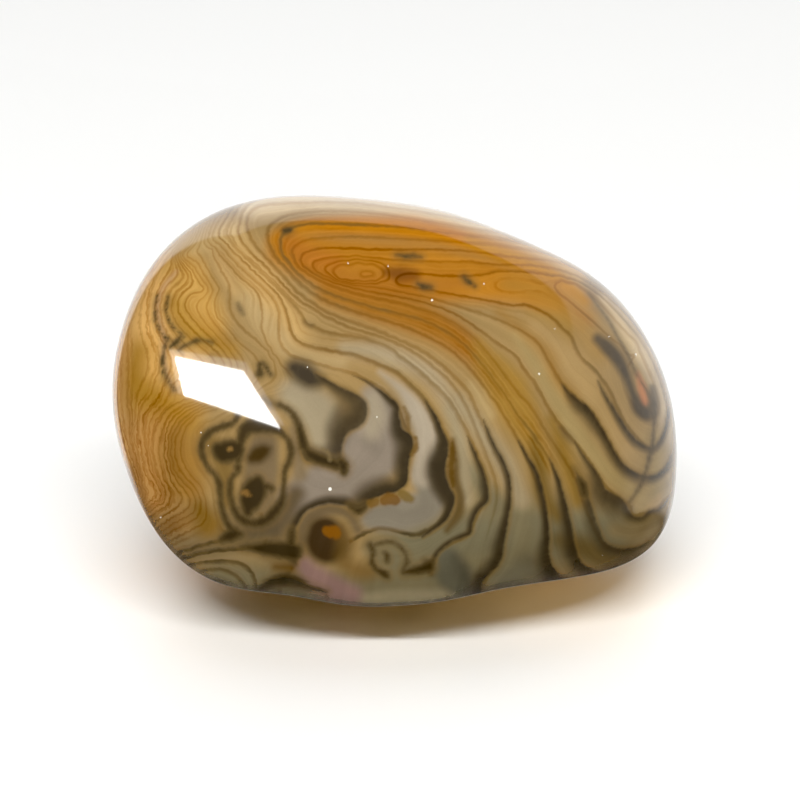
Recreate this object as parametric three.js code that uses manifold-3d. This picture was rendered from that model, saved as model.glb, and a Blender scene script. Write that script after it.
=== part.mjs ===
// A tumbled dendritic agate: one closed pebble, polished all over, that lies on a small worn flat.
//
// The stone is described in a slanted frame of its own. Across runs left to right, along runs up the
// broad banded face, and out points straight out of that face. The face leans back by FACE_LEAN, so
// out points forward and up. The stone's widest line is drawn in the plane of across and along, and
// the front and the back swell out of it. Bands, dendrites and pits are colour or finer than 0.3 mm,
// so none of them is raised here.
//
// Millimetres, +Z up. The origin is below the middle of the stone, on the surface that it lies on.
import * as THREE from "three";
import { mergeVertices } from "three/addons/utils/BufferGeometryUtils.js";
import Module from "manifold-3d";

// Radius of the widest line, in mm, every 15 degrees counter-clockwise from the right-hand end.
const OUTLINE_RADII = [
  17.7, 16.5, 15.1, 13.5, 12.6, 12.4, // right end, then over the sloping right shoulder
  12.6, 13.4, 15.0, 16.8, 17.9, 18.2, // the top, then the round left shoulder
  18.2, 17.8, 17.4, 16.3, 14.2, 13.4, // the blunt left end, then the lower left corner
  13.0, 13.1, 13.8, 16.0, 18.9, 18.6, // the long underside, then the heel at the lower right
];
const FRONT_BULGE = 14.5; // how far the front swells out of the widest line
const BACK_BULGE = 13.0; // how far the back swells out of it
const SQUARENESS = 0.45; // 0 makes each section an ellipse, 1 a box
const CROWN_HALF_LENGTH = 17.9; // the outline eases into this ellipse on the crown of each face
const CROWN_HALF_HEIGHT = 13.0;
const LEFT_END_SWEEP = 1.5; // how far the left end bends back from the middle of the stone
const RIGHT_END_SWEEP = 3.5; // how far the right end bends back
const TOP_SWEEP = 2.5; // how far the top leans back from the middle, and the underside comes forward
const FACE_LEAN = 20; // degrees between the broad face and upright
const REST_WEAR = 0.6; // thickness worn off the lowest point to make the flat

const OUTLINE_REFINEMENTS = 3; // passes that pull the smooth outline on to its radii
const MESH_DETAIL = 15; // each edge of the first 20 triangles is split into one more than this
const CUTTER_SIZE = 80; // a block larger than the stone, which trims the flat

// Value of a closed, evenly spaced cubic B-spline at turn, where one turn runs round all its controls.
function splineAt(controls, turn) {
  const count = controls.length;
  const position = (turn - Math.floor(turn)) * count;
  const start = Math.floor(position);
  const t = position - start;
  const weights = [
    (1 - t) ** 3 / 6,
    (3 * t ** 3 - 6 * t ** 2 + 4) / 6,
    (-3 * t ** 3 + 3 * t ** 2 + 3 * t + 1) / 6,
    t ** 3 / 6,
  ];
  return weights.reduce((sum, weight, i) => sum + weight * controls[(start + i - 1 + count) % count], 0);
}

// Controls whose spline passes through the given radii.
function controlsThrough(radii) {
  let controls = [...radii];
  for (let pass = 0; pass < OUTLINE_REFINEMENTS; pass++) {
    const last = controls;
    controls = last.map((value, i) => value + radii[i] - splineAt(last, i / radii.length));
  }
  return controls;
}

const outlineControls = controlsThrough(OUTLINE_RADII);

// Point of the stone's skin in the direction of a unit vector, both in the slanted frame.
function skinPoint(direction) {
  const { x: across, y: along, z: out } = direction;
  const reach = across ** 2 + along ** 2;
  const radius = splineAt(outlineControls, Math.atan2(along, across) / (2 * Math.PI));
  const crown = (across / CROWN_HALF_LENGTH) ** 2 + (along / CROWN_HALF_HEIGHT) ** 2;
  const inPlane = THREE.MathUtils.lerp(crown, reach / radius ** 2, reach);
  const bulge = out > 0 ? FRONT_BULGE : BACK_BULGE;
  const inDepth = (out / bulge) ** 2;
  const sum = inPlane + inDepth;
  const scale = Math.sqrt(2 / (sum + Math.sqrt(sum ** 2 - 4 * SQUARENESS * inPlane * inDepth)));
  return direction.clone().multiplyScalar(scale);
}

// How far the stone bends back at a place on its widest line's plane.
function sweepAt(across, along) {
  const part = across / CROWN_HALF_LENGTH;
  const even = (RIGHT_END_SWEEP + LEFT_END_SWEEP) / 2;
  const tilt = (RIGHT_END_SWEEP - LEFT_END_SWEEP) / 2;
  return even * part ** 2 + tilt * part + TOP_SWEEP * along / CROWN_HALF_HEIGHT;
}

function pebbleGeometry() {
  const sphere = new THREE.IcosahedronGeometry(1, MESH_DETAIL);
  sphere.deleteAttribute("normal");
  sphere.deleteAttribute("uv");
  const pebble = mergeVertices(sphere);
  const position = pebble.getAttribute("position");
  const direction = new THREE.Vector3();
  for (let i = 0; i < position.count; i++) {
    direction.fromBufferAttribute(position, i).normalize();
    const point = skinPoint(direction);
    point.z -= sweepAt(point.x, point.y);
    position.setXYZ(i, point.x, point.y, point.z);
  }
  // The slanted frame's out axis turns from +Z to face forward (-Y), and then up by the lean.
  pebble.rotateX(Math.PI / 2 - THREE.MathUtils.degToRad(FACE_LEAN));
  pebble.computeBoundingBox();
  return pebble;
}

const wasm = await Module();
wasm.setup();

function toSolid(geometry) {
  const points = new Float32Array(geometry.getAttribute("position").array);
  const triangles = new Uint32Array(geometry.getIndex().array);
  return new wasm.Manifold(new wasm.Mesh({ numProp: 3, vertProperties: points, triVerts: triangles }));
}

function toGeometry(solid) {
  const { vertProperties, triVerts } = solid.getMesh();
  const geometry = new THREE.BufferGeometry();
  geometry.setAttribute("position", new THREE.BufferAttribute(vertProperties, 3));
  geometry.setIndex(new THREE.BufferAttribute(triVerts, 1));
  geometry.computeVertexNormals();
  return geometry;
}

// The block that trims the flat, with its top REST_WEAR above the stone's lowest point.
function restCutter(lowest) {
  const box = new THREE.BoxGeometry(CUTTER_SIZE, CUTTER_SIZE, CUTTER_SIZE);
  box.deleteAttribute("normal");
  box.deleteAttribute("uv");
  const cutter = mergeVertices(box);
  cutter.translate(0, 0, lowest + REST_WEAR - CUTTER_SIZE / 2);
  return cutter;
}

const pebble = pebbleGeometry();
const stone = toGeometry(toSolid(pebble).subtract(toSolid(restCutter(pebble.boundingBox.min.z))));
stone.computeBoundingBox();
const middle = stone.boundingBox.getCenter(new THREE.Vector3());
stone.translate(-middle.x, -middle.y, -stone.boundingBox.min.z);

const polishedAgate = new THREE.MeshStandardMaterial({ color: 0xa8854a, roughness: 0.08, metalness: 0 });
const agate = new THREE.Mesh(stone, polishedAgate);
agate.name = "agate";

const specimen = new THREE.Group();
specimen.add(agate);

export default specimen;
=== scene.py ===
"""Looks of the dendritic agate specimen: its polished skin, growth lines, dendritic blots and studio.

The stone is one piece. Its fine mesh follows the same form as the CAD solid and fits the same box. The
markings are drawn on the broad face as curves, in the pixels of an 800 x 800 view of that face, and each
point of the skin looks up the place that this view shows it at. Behind the widest line, where the view sees
nothing, the same drawing is turned and stirred, so that the lines run on round the back.
"""

import functools
import math

import bpy
import numpy as np
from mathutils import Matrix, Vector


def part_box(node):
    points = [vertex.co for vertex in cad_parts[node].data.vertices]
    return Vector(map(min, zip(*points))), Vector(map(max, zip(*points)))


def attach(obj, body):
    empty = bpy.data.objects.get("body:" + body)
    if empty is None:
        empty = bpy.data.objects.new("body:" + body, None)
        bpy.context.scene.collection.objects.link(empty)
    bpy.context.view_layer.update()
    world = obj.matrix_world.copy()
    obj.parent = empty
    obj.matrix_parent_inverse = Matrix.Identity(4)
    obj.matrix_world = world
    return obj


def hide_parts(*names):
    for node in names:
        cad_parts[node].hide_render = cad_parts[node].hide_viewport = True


MM = 0.001

# ---- the stone's form, in mm, as in the CAD part -----------------------------------------------------------
# Radius of the widest line every 15 degrees, counter-clockwise from the right-hand end.
OUTLINE_RADII = [
    17.7, 16.5, 15.1, 13.5, 12.6, 12.4,  # right end, then over the sloping right shoulder
    12.6, 13.4, 15.0, 16.8, 17.9, 18.2,  # the top, then the round left shoulder
    18.2, 17.8, 17.4, 16.3, 14.2, 13.4,  # the blunt left end, then the lower left corner
    13.0, 13.1, 13.8, 16.0, 18.9, 18.6,  # the long underside, then the heel at the lower right
]
FRONT_BULGE = 14.5  # how far the front swells out of the widest line
BACK_BULGE = 13.0  # how far the back swells out of it
SQUARENESS = 0.45  # 0 makes each section an ellipse, 1 a box
CROWN_HALF_LENGTH = 17.9  # the outline eases into this ellipse on the crown of each face
CROWN_HALF_HEIGHT = 13.0
LEFT_END_SWEEP = 1.5  # how far the left end bends back from the middle of the stone
RIGHT_END_SWEEP = 3.5  # how far the right end bends back
TOP_SWEEP = 2.5  # how far the top leans back from the middle, and the underside comes forward
FACE_LEAN = math.radians(20)  # between the broad face and upright
REST_WEAR = 0.6  # thickness worn off the lowest point to make the flat
REST_EDGE = 0.15  # rounding of the worn flat's edge
OUTLINE_REFINEMENTS = 3  # passes that pull the smooth outline on to its radii

# ---- the mesh ----------------------------------------------------------------------------------------------
GRID = 128  # cells along each edge of the cube that is blown up into the stone
FRONT_CROWDING = 0.5  # 0 spreads the points evenly over the stone, and 1 crowds them on to the front
SHARED_DECIMALS = 6  # two sides of the cube share the points that agree to this many decimals
TINY = 1e-9  # keeps logarithms and divisions finite
# Middle and half-size of the front's and the back's islands in the UV map.
FRONT_ISLAND = ((0.5, 0.672), (0.475, 0.31))
BACK_ISLAND = ((0.5, 0.172), (-0.475, 0.155))

# ---- the view that the markings are drawn in, which is also the camera's -----------------------------------
VIEW_PIXELS = 800
VIEW_LENS = 150.0  # mm
VIEW_SENSOR = 36.0  # mm
VIEW_DISTANCE = 0.2118  # m, as are the places below
VIEW_ELEVATION = math.radians(20)
VIEW_TARGET = np.array([0.0003, 0.0, 0.0122])
VIEW_FORWARD = np.array([0.0, math.cos(VIEW_ELEVATION), -math.sin(VIEW_ELEVATION)])
VIEW_UP = np.array([0.0, math.sin(VIEW_ELEVATION), math.cos(VIEW_ELEVATION)])
VIEW_EYE = VIEW_TARGET - VIEW_FORWARD * VIEW_DISTANCE
VIEW_NEAREST = 0.01
VIEW_FARTHEST = 20.0
FACE_CENTRE = np.array([395.0, 400.0])  # where the view shows the middle of the broad face
PIXELS_PER_MM = 15.7

# The markings below are curves through a few points each, read off. Points, half-widths, reaches and
# softnesses are in the view's pixels, x to the right and y down. Colours are sRGB from 0 to 255. Half-widths,
# reaches and darknesses are spread evenly along their curve.

# ---- growth lines ------------------------------------------------------------------------------------------
# Name, growth order, half-widths, darknesses, points. Lines of one growth order belong to the same layer of
# the stone. Layer lines that no curve draws fall between the drawn ones by themselves.
GROWTH_LINES = [
    ("eye core", 2.6, [0.6], [0.23], [(349, 273), (354, 268), (365, 267), (376, 269), (381, 274), (376, 279),
        (365, 280), (354, 278), (349, 273)]),
    ("eye ring", 3, [0.7], [0.26], [(334, 272), (342, 265), (358, 263), (374, 265), (383, 272), (378, 279),
        (362, 281), (344, 279), (334, 272)]),
    ("eye rim", 4, [0.7], [0.26], [(326, 271), (334, 263), (352, 260), (372, 261), (385, 266), (389, 274),
        (380, 282), (360, 283), (340, 281), (326, 271)]),
    ("loop 5", 5, [0.7, 1, 0.9, 0.9, 1.2], [0.3, 0.42, 0.4, 0.4, 0.42], [(470, 262), (440, 262), (410, 261),
        (385, 259), (363, 257), (336, 257), (319, 260), (313, 265), (317, 272), (332, 279), (349, 284),
        (372, 287), (400, 292), (440, 301), (480, 313)]),
    ("right 5", 5, [1, 1.2, 1.5, 1.5, 1.5, 1.2], [0.34, 0.42, 0.45, 0.5, 0.5, 0.4], [(480, 312), (490, 316),
        (500, 320), (515, 327), (530, 336), (540, 345), (546, 356), (553, 368), (560, 380), (570, 392),
        (580, 401), (590, 409), (598, 421), (607, 438), (617, 455), (625, 467), (638, 474), (652, 477),
        (664, 473), (671, 463), (676, 445)]),
    ("right 4", 4, [0.8, 1, 1.2, 1.5, 1.6, 1.4], [0.3, 0.36, 0.42, 0.5, 0.55, 0.4], [(400, 285), (440, 292),
        (480, 299), (500, 303), (512, 305), (525, 305), (535, 308), (545, 313), (555, 320), (562, 328),
        (570, 335), (575, 345), (580, 355), (586, 362), (595, 370), (602, 379), (608, 388), (614, 400),
        (620, 413), (628, 427), (637, 438), (648, 448), (653, 450), (660, 442), (666, 430), (668, 415)]),
    ("loop 6", 6, [0.7, 1, 0.9, 1, 1.2], [0.3, 0.42, 0.42, 0.42, 0.45], [(500, 255), (450, 250), (400, 250),
        (363, 249), (327, 248), (308, 252), (301, 259), (305, 267), (319, 276), (340, 284), (363, 290),
        (400, 297), (440, 307), (470, 323), (500, 345)]),
    ("right 6", 6, [1.2, 1.4, 1.4, 1.4, 1.4], [0.42, 0.45, 0.5, 0.5, 0.4], [(500, 345), (515, 355),
        (525, 370), (533, 380), (542, 395), (550, 410), (560, 425), (573, 440), (585, 455), (595, 470),
        (603, 483), (612, 492), (622, 500), (630, 506), (633, 515), (645, 513), (655, 510), (665, 500)]),
    ("loop 7", 7, [0.9, 1.1, 1.1, 1.1, 1.2], [0.4, 0.5, 0.5, 0.45, 0.45], [(500, 245), (440, 241), (400, 239),
        (345, 237), (308, 240), (297, 245), (292, 251), (295, 260), (305, 271), (321, 281), (341, 289),
        (363, 295), (400, 303), (440, 316), (470, 334), (495, 362), (520, 395)]),
    ("right 7", 7, [1.2, 1.3, 1.3, 1.3, 1.3], [0.4, 0.5, 0.5, 0.5, 0.4], [(520, 395), (532, 408), (545, 430),
        (556, 447), (566, 462), (574, 475), (580, 488), (585, 505), (591, 520), (597, 533), (605, 545),
        (617, 550), (632, 549), (650, 542)]),
    ("loop 8", 8, [1.1, 1.5, 1.5, 1.3, 1.3], [0.4, 0.62, 0.62, 0.48, 0.45], [(470, 236), (440, 232),
        (400, 227), (363, 225), (337, 224), (308, 224), (290, 229), (281, 238), (281, 246), (283, 255),
        (292, 267), (305, 280), (323, 291), (345, 299), (371, 307), (400, 314), (430, 323), (460, 341),
        (482, 364), (505, 395)]),
    ("right 8", 8, [1, 1.2, 1.3, 1.3, 1.3], [0.42, 0.5, 0.5, 0.5, 0.5], [(505, 395), (518, 415), (530, 430),
        (537, 440), (547, 455), (553, 468), (559, 485), (562, 500), (566, 520), (571, 540), (576, 555),
        (583, 565), (592, 570)]),
    ("loop 9", 9, [1, 1.2, 1.6, 1.4, 1.2], [0.2, 0.35, 0.6, 0.5, 0.42], [(460, 227), (400, 217), (370, 213),
        (340, 211), (310, 212), (286, 216), (275, 222), (268, 230), (268, 238), (273, 252), (283, 265),
        (297, 280), (316, 295), (334, 304), (354, 311), (378, 318), (400, 325), (420, 333), (440, 343),
        (455, 353), (467, 365), (478, 378), (487, 390)]),
    ("right 9", 9, [1, 1.3, 1.3, 1.3, 1.3], [0.42, 0.5, 0.5, 0.5, 0.5], [(487, 390), (497, 403), (507, 420),
        (520, 443), (527, 458), (535, 478), (541, 493), (545, 515), (546, 535), (548, 555), (553, 570),
        (562, 579)]),
    ("line 10", 10, [0.9, 1.2, 1.5, 1.7, 1.8, 2, 2, 2, 2, 2],
        [0.24, 0.33, 0.43, 0.43, 0.47, 0.47, 0.47, 0.47, 0.47, 0.47], [(400, 209), (350, 203), (300, 203),
        (262, 206), (250, 213), (247, 223), (252, 240), (268, 260), (283, 276), (297, 292), (319, 308),
        (340, 318), (356, 323), (378, 331), (400, 341), (421, 350), (438, 362), (455, 377), (468, 391),
        (476, 408), (483, 424), (489, 438), (496, 453), (503, 468), (508, 483), (509, 497), (507, 515),
        (503, 530), (499, 550), (494, 568), (487, 577), (481, 592)]),
    ("line 11", 11, [0.9, 1, 0.8, 0.4], [0.38, 0.38, 0.14, 0], [(240, 222), (238, 232), (246, 247),
        (261, 262), (277, 278), (297, 298), (318, 311), (332, 319), (355, 329), (385, 338), (410, 350),
        (435, 368), (455, 388), (468, 410), (480, 440), (492, 470), (497, 495), (492, 520), (484, 545),
        (478, 575)]),
    ("line 12", 12, [0.9, 1.2, 1.7, 1.8, 2, 2.1, 2.1, 2.1, 2.1, 2.1],
        [0.28, 0.38, 0.52, 0.47, 0.47, 0.47, 0.47, 0.57, 0.57, 0.57], [(227, 234), (237, 249), (253, 264),
        (270, 280), (288, 298), (299, 311), (308, 325), (323, 331), (341, 335), (363, 338), (385, 346),
        (398, 355), (413, 366), (430, 381), (447, 398), (460, 418), (470, 437), (477, 455), (483, 470),
        (487, 482), (486, 494), (479, 510), (473, 524), (467, 534), (457, 540), (446, 546), (438, 554),
        (432, 566), (431, 578), (436, 591), (448, 599)]),
    ("line 13", 13, [0.9, 1, 1.4, 1.8, 2, 2.2, 3.6], [0.28, 0.33, 0.43, 0.47, 0.47, 0.57, 0.9], [(219, 236),
        (231, 249), (248, 265), (263, 280), (277, 294), (286, 312), (290, 328), (296, 340), (308, 346),
        (327, 350), (345, 353), (360, 357), (380, 365), (397, 373), (410, 385), (422, 397), (430, 411),
        (438, 428), (446, 444)]),
    ("line 13 b", 13, [1.6, 1.8, 1.8, 1.6], [0.6], [(441, 446), (438, 460), (437, 472), (441, 485),
        (446, 498), (449, 508)]),
    ("line 13 c", 13, [2.4, 2, 1.6], [0.9, 0.85, 0.8], [(446, 514), (438, 524), (426, 531), (414, 535),
        (404, 533), (394, 530), (383, 528), (370, 531), (358, 537)]),
    ("line 14", 14, [0.9, 1, 1.2, 1.5, 1.8, 2.1], [0.28, 0.33, 0.4, 0.46, 0.47, 0.59], [(213, 237),
        (226, 251), (240, 267), (257, 282), (271, 296), (279, 312), (279, 335), (286, 351), (300, 358),
        (316, 363), (336, 369), (352, 373), (368, 381), (380, 388), (390, 398)]),
    ("line 14 b", 14, [1.2, 1.4, 1.4, 1.4], [0.5, 0.6, 0.6, 0.6], [(400, 412), (404, 424), (410, 435),
        (410, 446), (405, 458), (404, 470), (402, 480), (394, 487), (382, 490), (371, 495), (363, 505)]),
    ("line 14 c", 14, [1.4, 1.4, 1.4, 1.6], [0.6, 0.6, 0.6, 0.7], [(357, 507), (345, 502), (330, 500),
        (315, 504), (303, 511), (296, 521), (291, 533), (291, 546), (295, 560)]),
    ("line 15", 15, [0.7, 0.7, 0.5], [0.3, 0.35, 0.2], [(208, 239), (219, 254), (233, 269), (244, 280),
        (257, 292), (262, 312), (262, 330), (268, 345), (280, 362), (300, 385)]),
    ("line 16", 16, [0.7, 0.9, 0.7], [0.4, 0.4, 0.2], [(205, 238), (212, 249), (218, 263), (225, 276),
        (230, 291), (230, 300), (231, 311), (237, 322), (248, 333), (259, 342), (268, 351), (274, 361),
        (276, 375)]),
    ("knee 17", 17, [0.5], [0.34], [(198, 250), (208, 270), (219, 289), (216, 297), (215, 307), (218, 318),
        (228, 329), (239, 342), (250, 351), (257, 359), (260, 368), (258, 380), (245, 394), (232, 403)]),
    ("left 17", 17, [0.6], [0.42], [(232, 403), (220, 407), (209, 411), (196, 417), (187, 426), (182, 439),
        (181, 453), (185, 466), (194, 479), (203, 492), (206, 505), (205, 521), (191, 530), (174, 539),
        (165, 545)]),
    ("knee 18", 18, [0.5], [0.3], [(190, 250), (203, 272), (213, 292), (207, 304), (209, 315), (217, 326),
        (226, 337), (235, 348), (243, 360), (247, 372), (240, 385), (225, 395)]),
    ("knee 20", 20, [0.5, 0.6], [0.34, 0.45], [(180, 255), (195, 275), (204, 288), (191, 294), (185, 304),
        (191, 316), (202, 329), (215, 342), (224, 351), (230, 360), (232, 370), (225, 382), (205, 392)]),
    ("left 19", 19, [0.6], [0.42], [(216, 402), (202, 407), (189, 415), (178, 426), (172, 439), (171, 453),
        (174, 468), (183, 481), (192, 490), (196, 501), (195, 510), (183, 519), (169, 527), (159, 534)]),
    ("left 21", 21, [0.6], [0.42], [(202, 401), (187, 407), (174, 417), (167, 431), (165, 448), (167, 464),
        (172, 481), (180, 493), (181, 504), (170, 512), (161, 518), (154, 525)]),
    ("left 23", 23, [0.6], [0.42], [(191, 399), (172, 406), (161, 418), (154, 435), (153, 453), (156, 468),
        (160, 481), (166, 494), (165, 500), (156, 507), (147, 514)]),
    ("knee 23", 23, [0.6], [0.42], [(178, 262), (184, 275), (180, 282), (170, 292), (166, 305), (167, 317),
        (173, 330), (186, 345), (200, 358), (206, 372), (196, 384), (180, 395)]),
    ("left 26", 26, [0.55], [0.34], [(178, 245), (160, 270), (150, 300), (150, 330), (158, 350), (160, 368),
        (154, 384), (151, 395), (143, 404), (139, 417), (139, 435), (143, 453), (147, 471), (153, 483),
        (158, 492), (155, 499), (147, 505)]),
    ("left 27", 27, [0.55], [0.34], [(168, 250), (152, 275), (142, 305), (141, 330), (147, 352), (148, 370),
        (143, 382), (139, 391), (136, 404), (136, 417), (134, 435), (138, 453), (141, 471), (145, 487),
        (148, 494)]),
    ("left 29", 29, [0.55], [0.34], [(150, 267), (138, 290), (128, 315), (123, 345), (122, 370), (122, 390),
        (122, 407), (125, 426), (128, 444), (134, 462), (139, 479), (144, 492), (141, 498)]),
    ("rim 31", 31, [0.5], [0.2], [(131, 298), (120, 330), (115, 360), (114, 400), (119, 440), (128, 470),
        (136, 495)]),
    ("guide 16", 16, [0.3], [0], [(262, 388), (240, 406), (222, 415), (204, 428), (195, 448), (199, 466),
        (212, 486), (215, 508), (222, 530)]),
    ("foot 16", 16, [1.6, 2, 2], [0.8, 0.9, 0.9], [(236, 533), (232, 535), (220, 541), (205, 545), (190, 550),
        (177, 556)]),
    ("foot 15", 15, [1.6, 1.6, 1.4], [0.8, 0.8, 0.7], [(262, 548), (240, 549), (215, 551), (195, 555),
        (182, 559)]),
    ("foot 15 low", 15, [1.3, 1.6, 1.4], [0.59, 0.68, 0.68], [(188, 565), (205, 562), (225, 561), (240, 563),
        (250, 570), (255, 580), (256, 592)]),
    ("foot 16 low", 16, [1.4, 1.8, 1.8], [0.68, 0.77, 0.77], [(194, 574), (205, 570), (220, 569), (235, 575),
        (243, 583), (247, 592)]),
    ("swirl outer", 3, [0.8], [0.5], [(556, 284), (563, 281), (575, 284), (588, 293), (602, 306), (615, 321),
        (628, 335), (638, 347), (641, 355), (634, 354), (622, 346), (608, 335), (594, 322), (580, 310),
        (567, 299), (557, 290), (556, 284)]),
    ("swirl inner", 2.4, [0.7], [0.5], [(572, 290), (590, 304), (605, 319), (620, 333), (631, 345)]),
    ("top 8", 8, [0.9], [0.4], [(470, 236), (500, 239), (520, 243)]),
    ("top 7", 7, [0.9], [0.4], [(500, 246), (530, 250), (552, 255)]),
    ("top 6", 6, [1.2], [0.5], [(500, 256), (530, 259), (550, 261), (572, 267), (592, 278), (610, 292)]),
    ("top 5", 5, [1, 0.9, 1.4], [0.4, 0.4, 0.5], [(470, 262), (500, 265), (530, 265), (555, 269), (575, 275),
        (595, 287), (615, 303), (632, 321), (647, 342), (660, 366), (669, 392), (675, 420), (676, 445)]),
    ("top 4", 4, [1, 0.9, 1.4], [0.35, 0.4, 0.5], [(500, 271), (530, 272), (555, 276), (577, 281), (594, 291),
        (610, 305), (626, 322), (641, 341), (652, 360), (660, 380), (666, 400), (668, 415)]),
    ("cavity guide", 14.6, [0.3], [0], [(300, 430), (310, 480), (340, 485), (370, 460), (380, 440),
        (360, 400), (335, 375)]),
    ("pocket guide", 13.6, [0.3], [0], [(400, 520), (425, 515), (430, 500), (420, 470), (418, 440)]),
]

# ---- ink: dark dendritic growths, crisp at the edge --------------------------------------------------------
# Name, half-widths, points.
INK = [
    ("brow", [3, 3.8, 4, 3.2, 3, 3, 3, 4], [(239, 412), (235, 421), (228, 425), (218, 428), (210, 432),
        (204, 438), (201, 447), (203, 457), (208, 467), (215, 475), (219, 483), (220, 495), (222, 508),
        (226, 520), (231, 529), (236, 534)]),
    ("brow corner", [3.6, 6, 6.6, 3.6], [(222, 539), (229, 536), (234, 534), (240, 534)]),
    ("left eye", [6.4, 11.1, 12.2, 8.5], [(218, 449), (224, 452), (229, 451), (236, 449)]),
    ("left eye foot", [4, 3, 4.5], [(238, 460), (237, 465), (238, 468)]),
    ("mask ring", [3.6, 4.1, 7.7, 8.4, 6, 3.6, 3.1, 3.4, 3.1, 3.1, 3.1], [(239, 455), (241, 442), (245, 430),
        (253, 426), (263, 426), (274, 429), (283, 434), (289, 442), (291, 452), (289, 461), (285, 470),
        (284, 482), (283, 494)]),
    ("mouth ring", [3.5, 5, 5.8, 4.5, 4.5, 3.8, 3, 2.8, 2.8], [(283, 494), (281, 503), (275, 511), (267, 519),
        (257, 523), (247, 522), (239, 517), (233, 506), (230, 495), (230, 485), (233, 476), (239, 471)]),
    ("mouth", [5.5, 9.9, 13.2, 11.6, 6.6, 4.4], [(258, 480), (256, 487), (253, 494), (250, 502), (248, 509),
        (248, 513)]),
    ("mouth side", [4, 3.4, 2.6], [(262, 486), (268, 487), (272, 489)]),
    ("cloud tail", [2.2, 3.2, 4, 5], [(280, 405), (289, 410), (297, 421), (301, 434), (304, 446)]),
    ("cloud foot", [4, 6, 6, 5, 5], [(305, 448), (311, 455), (320, 459), (329, 462), (337, 465)]),
    ("boot toe", [5, 6, 4], [(341, 462), (344, 467), (344, 472)]),
    ("curl", [1.4, 1.6, 1.4], [(330, 462), (338, 465), (344, 465)]),
    ("dark bar", [2.2, 4.5, 7.5, 9, 9], [(242, 547), (256, 548), (270, 549), (283, 550), (294, 552)]),
    ("disc ring foot", [5, 4.6, 4], [(293, 556), (291, 545), (292, 533)]),
    ("hump", [3.2, 5.8, 7.4, 5.8, 2.9, 1.6], [(261, 589), (271, 583), (284, 580), (296, 582), (308, 587),
        (326, 592)]),
    ("ring corner", [2.5, 4.5, 3], [(351, 507), (358, 511), (365, 507)]),
    ("shell ring", [2.8, 3, 2.1, 2.4, 2.8, 2.8, 3, 3.6], [(370, 545), (373, 552), (372, 561), (375, 568),
        (381, 572), (386, 575)]),
    ("shell ring top", [1.5, 2, 2, 2, 2, 2.5], [(372, 546), (381, 543), (391, 542), (399, 546), (405, 553),
        (407, 561), (404, 569)]),
    ("shell spot", [1.8, 2.6, 2], [(385, 553), (387, 556), (387, 561)]),
    ("shell link", [2.9, 3.6, 4.8, 6], [(404, 572), (413, 571), (422, 569), (429, 566)]),
    ("orange spot 1", [3, 2.6], [(285, 231), (290, 230)]),
    ("orange spot 2", [1.1, 2.5, 2.5, 1.1], [(396, 255), (405, 256), (412, 256), (421, 257)]),
    ("orange spot 3", [1.1, 2.8, 2], [(418, 284), (425, 287), (431, 287)]),
    ("orange spot 4", [1.9, 3.1, 1.4], [(464, 277), (468, 281), (475, 286)]),
    ("hook", [3.4, 2.6, 2.1, 1.6], [(260, 374), (260, 364), (265, 366), (271, 375)]),
    ("cluster", [2, 3, 2], [(170, 347), (176, 343), (180, 337)]),
    ("cluster arc", [2, 1.8, 1.4, 1], [(180, 349), (188, 344), (200, 340), (212, 343)]),
    ("vein left", [0.4, 0.7, 1, 1.8], [(157, 296), (155, 310), (157, 323), (161, 332), (167, 339)]),
    ("vein right", [0.8, 1, 1.2, 0.8], [(168, 297), (166, 311), (168, 320), (175, 329), (184, 337)]),
    ("vein low", [1, 1.4, 1.4, 2], [(165, 345), (163, 356), (163, 368), (168, 380), (174, 389)]),
    ("crack", [0.5, 0.6, 0.7, 0.8, 0.8, 1.2, 1.8, 1, 0.7], [(589, 294), (598, 306), (609, 321), (617, 336),
        (626, 351), (635, 371), (644, 386), (651, 398), (655, 411), (654, 426), (652, 448), (648, 464),
        (642, 482), (630, 501)]),
    ("rust blotch", [3, 4, 3], [(580, 480), (583, 486), (584, 493)]),
]

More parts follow.
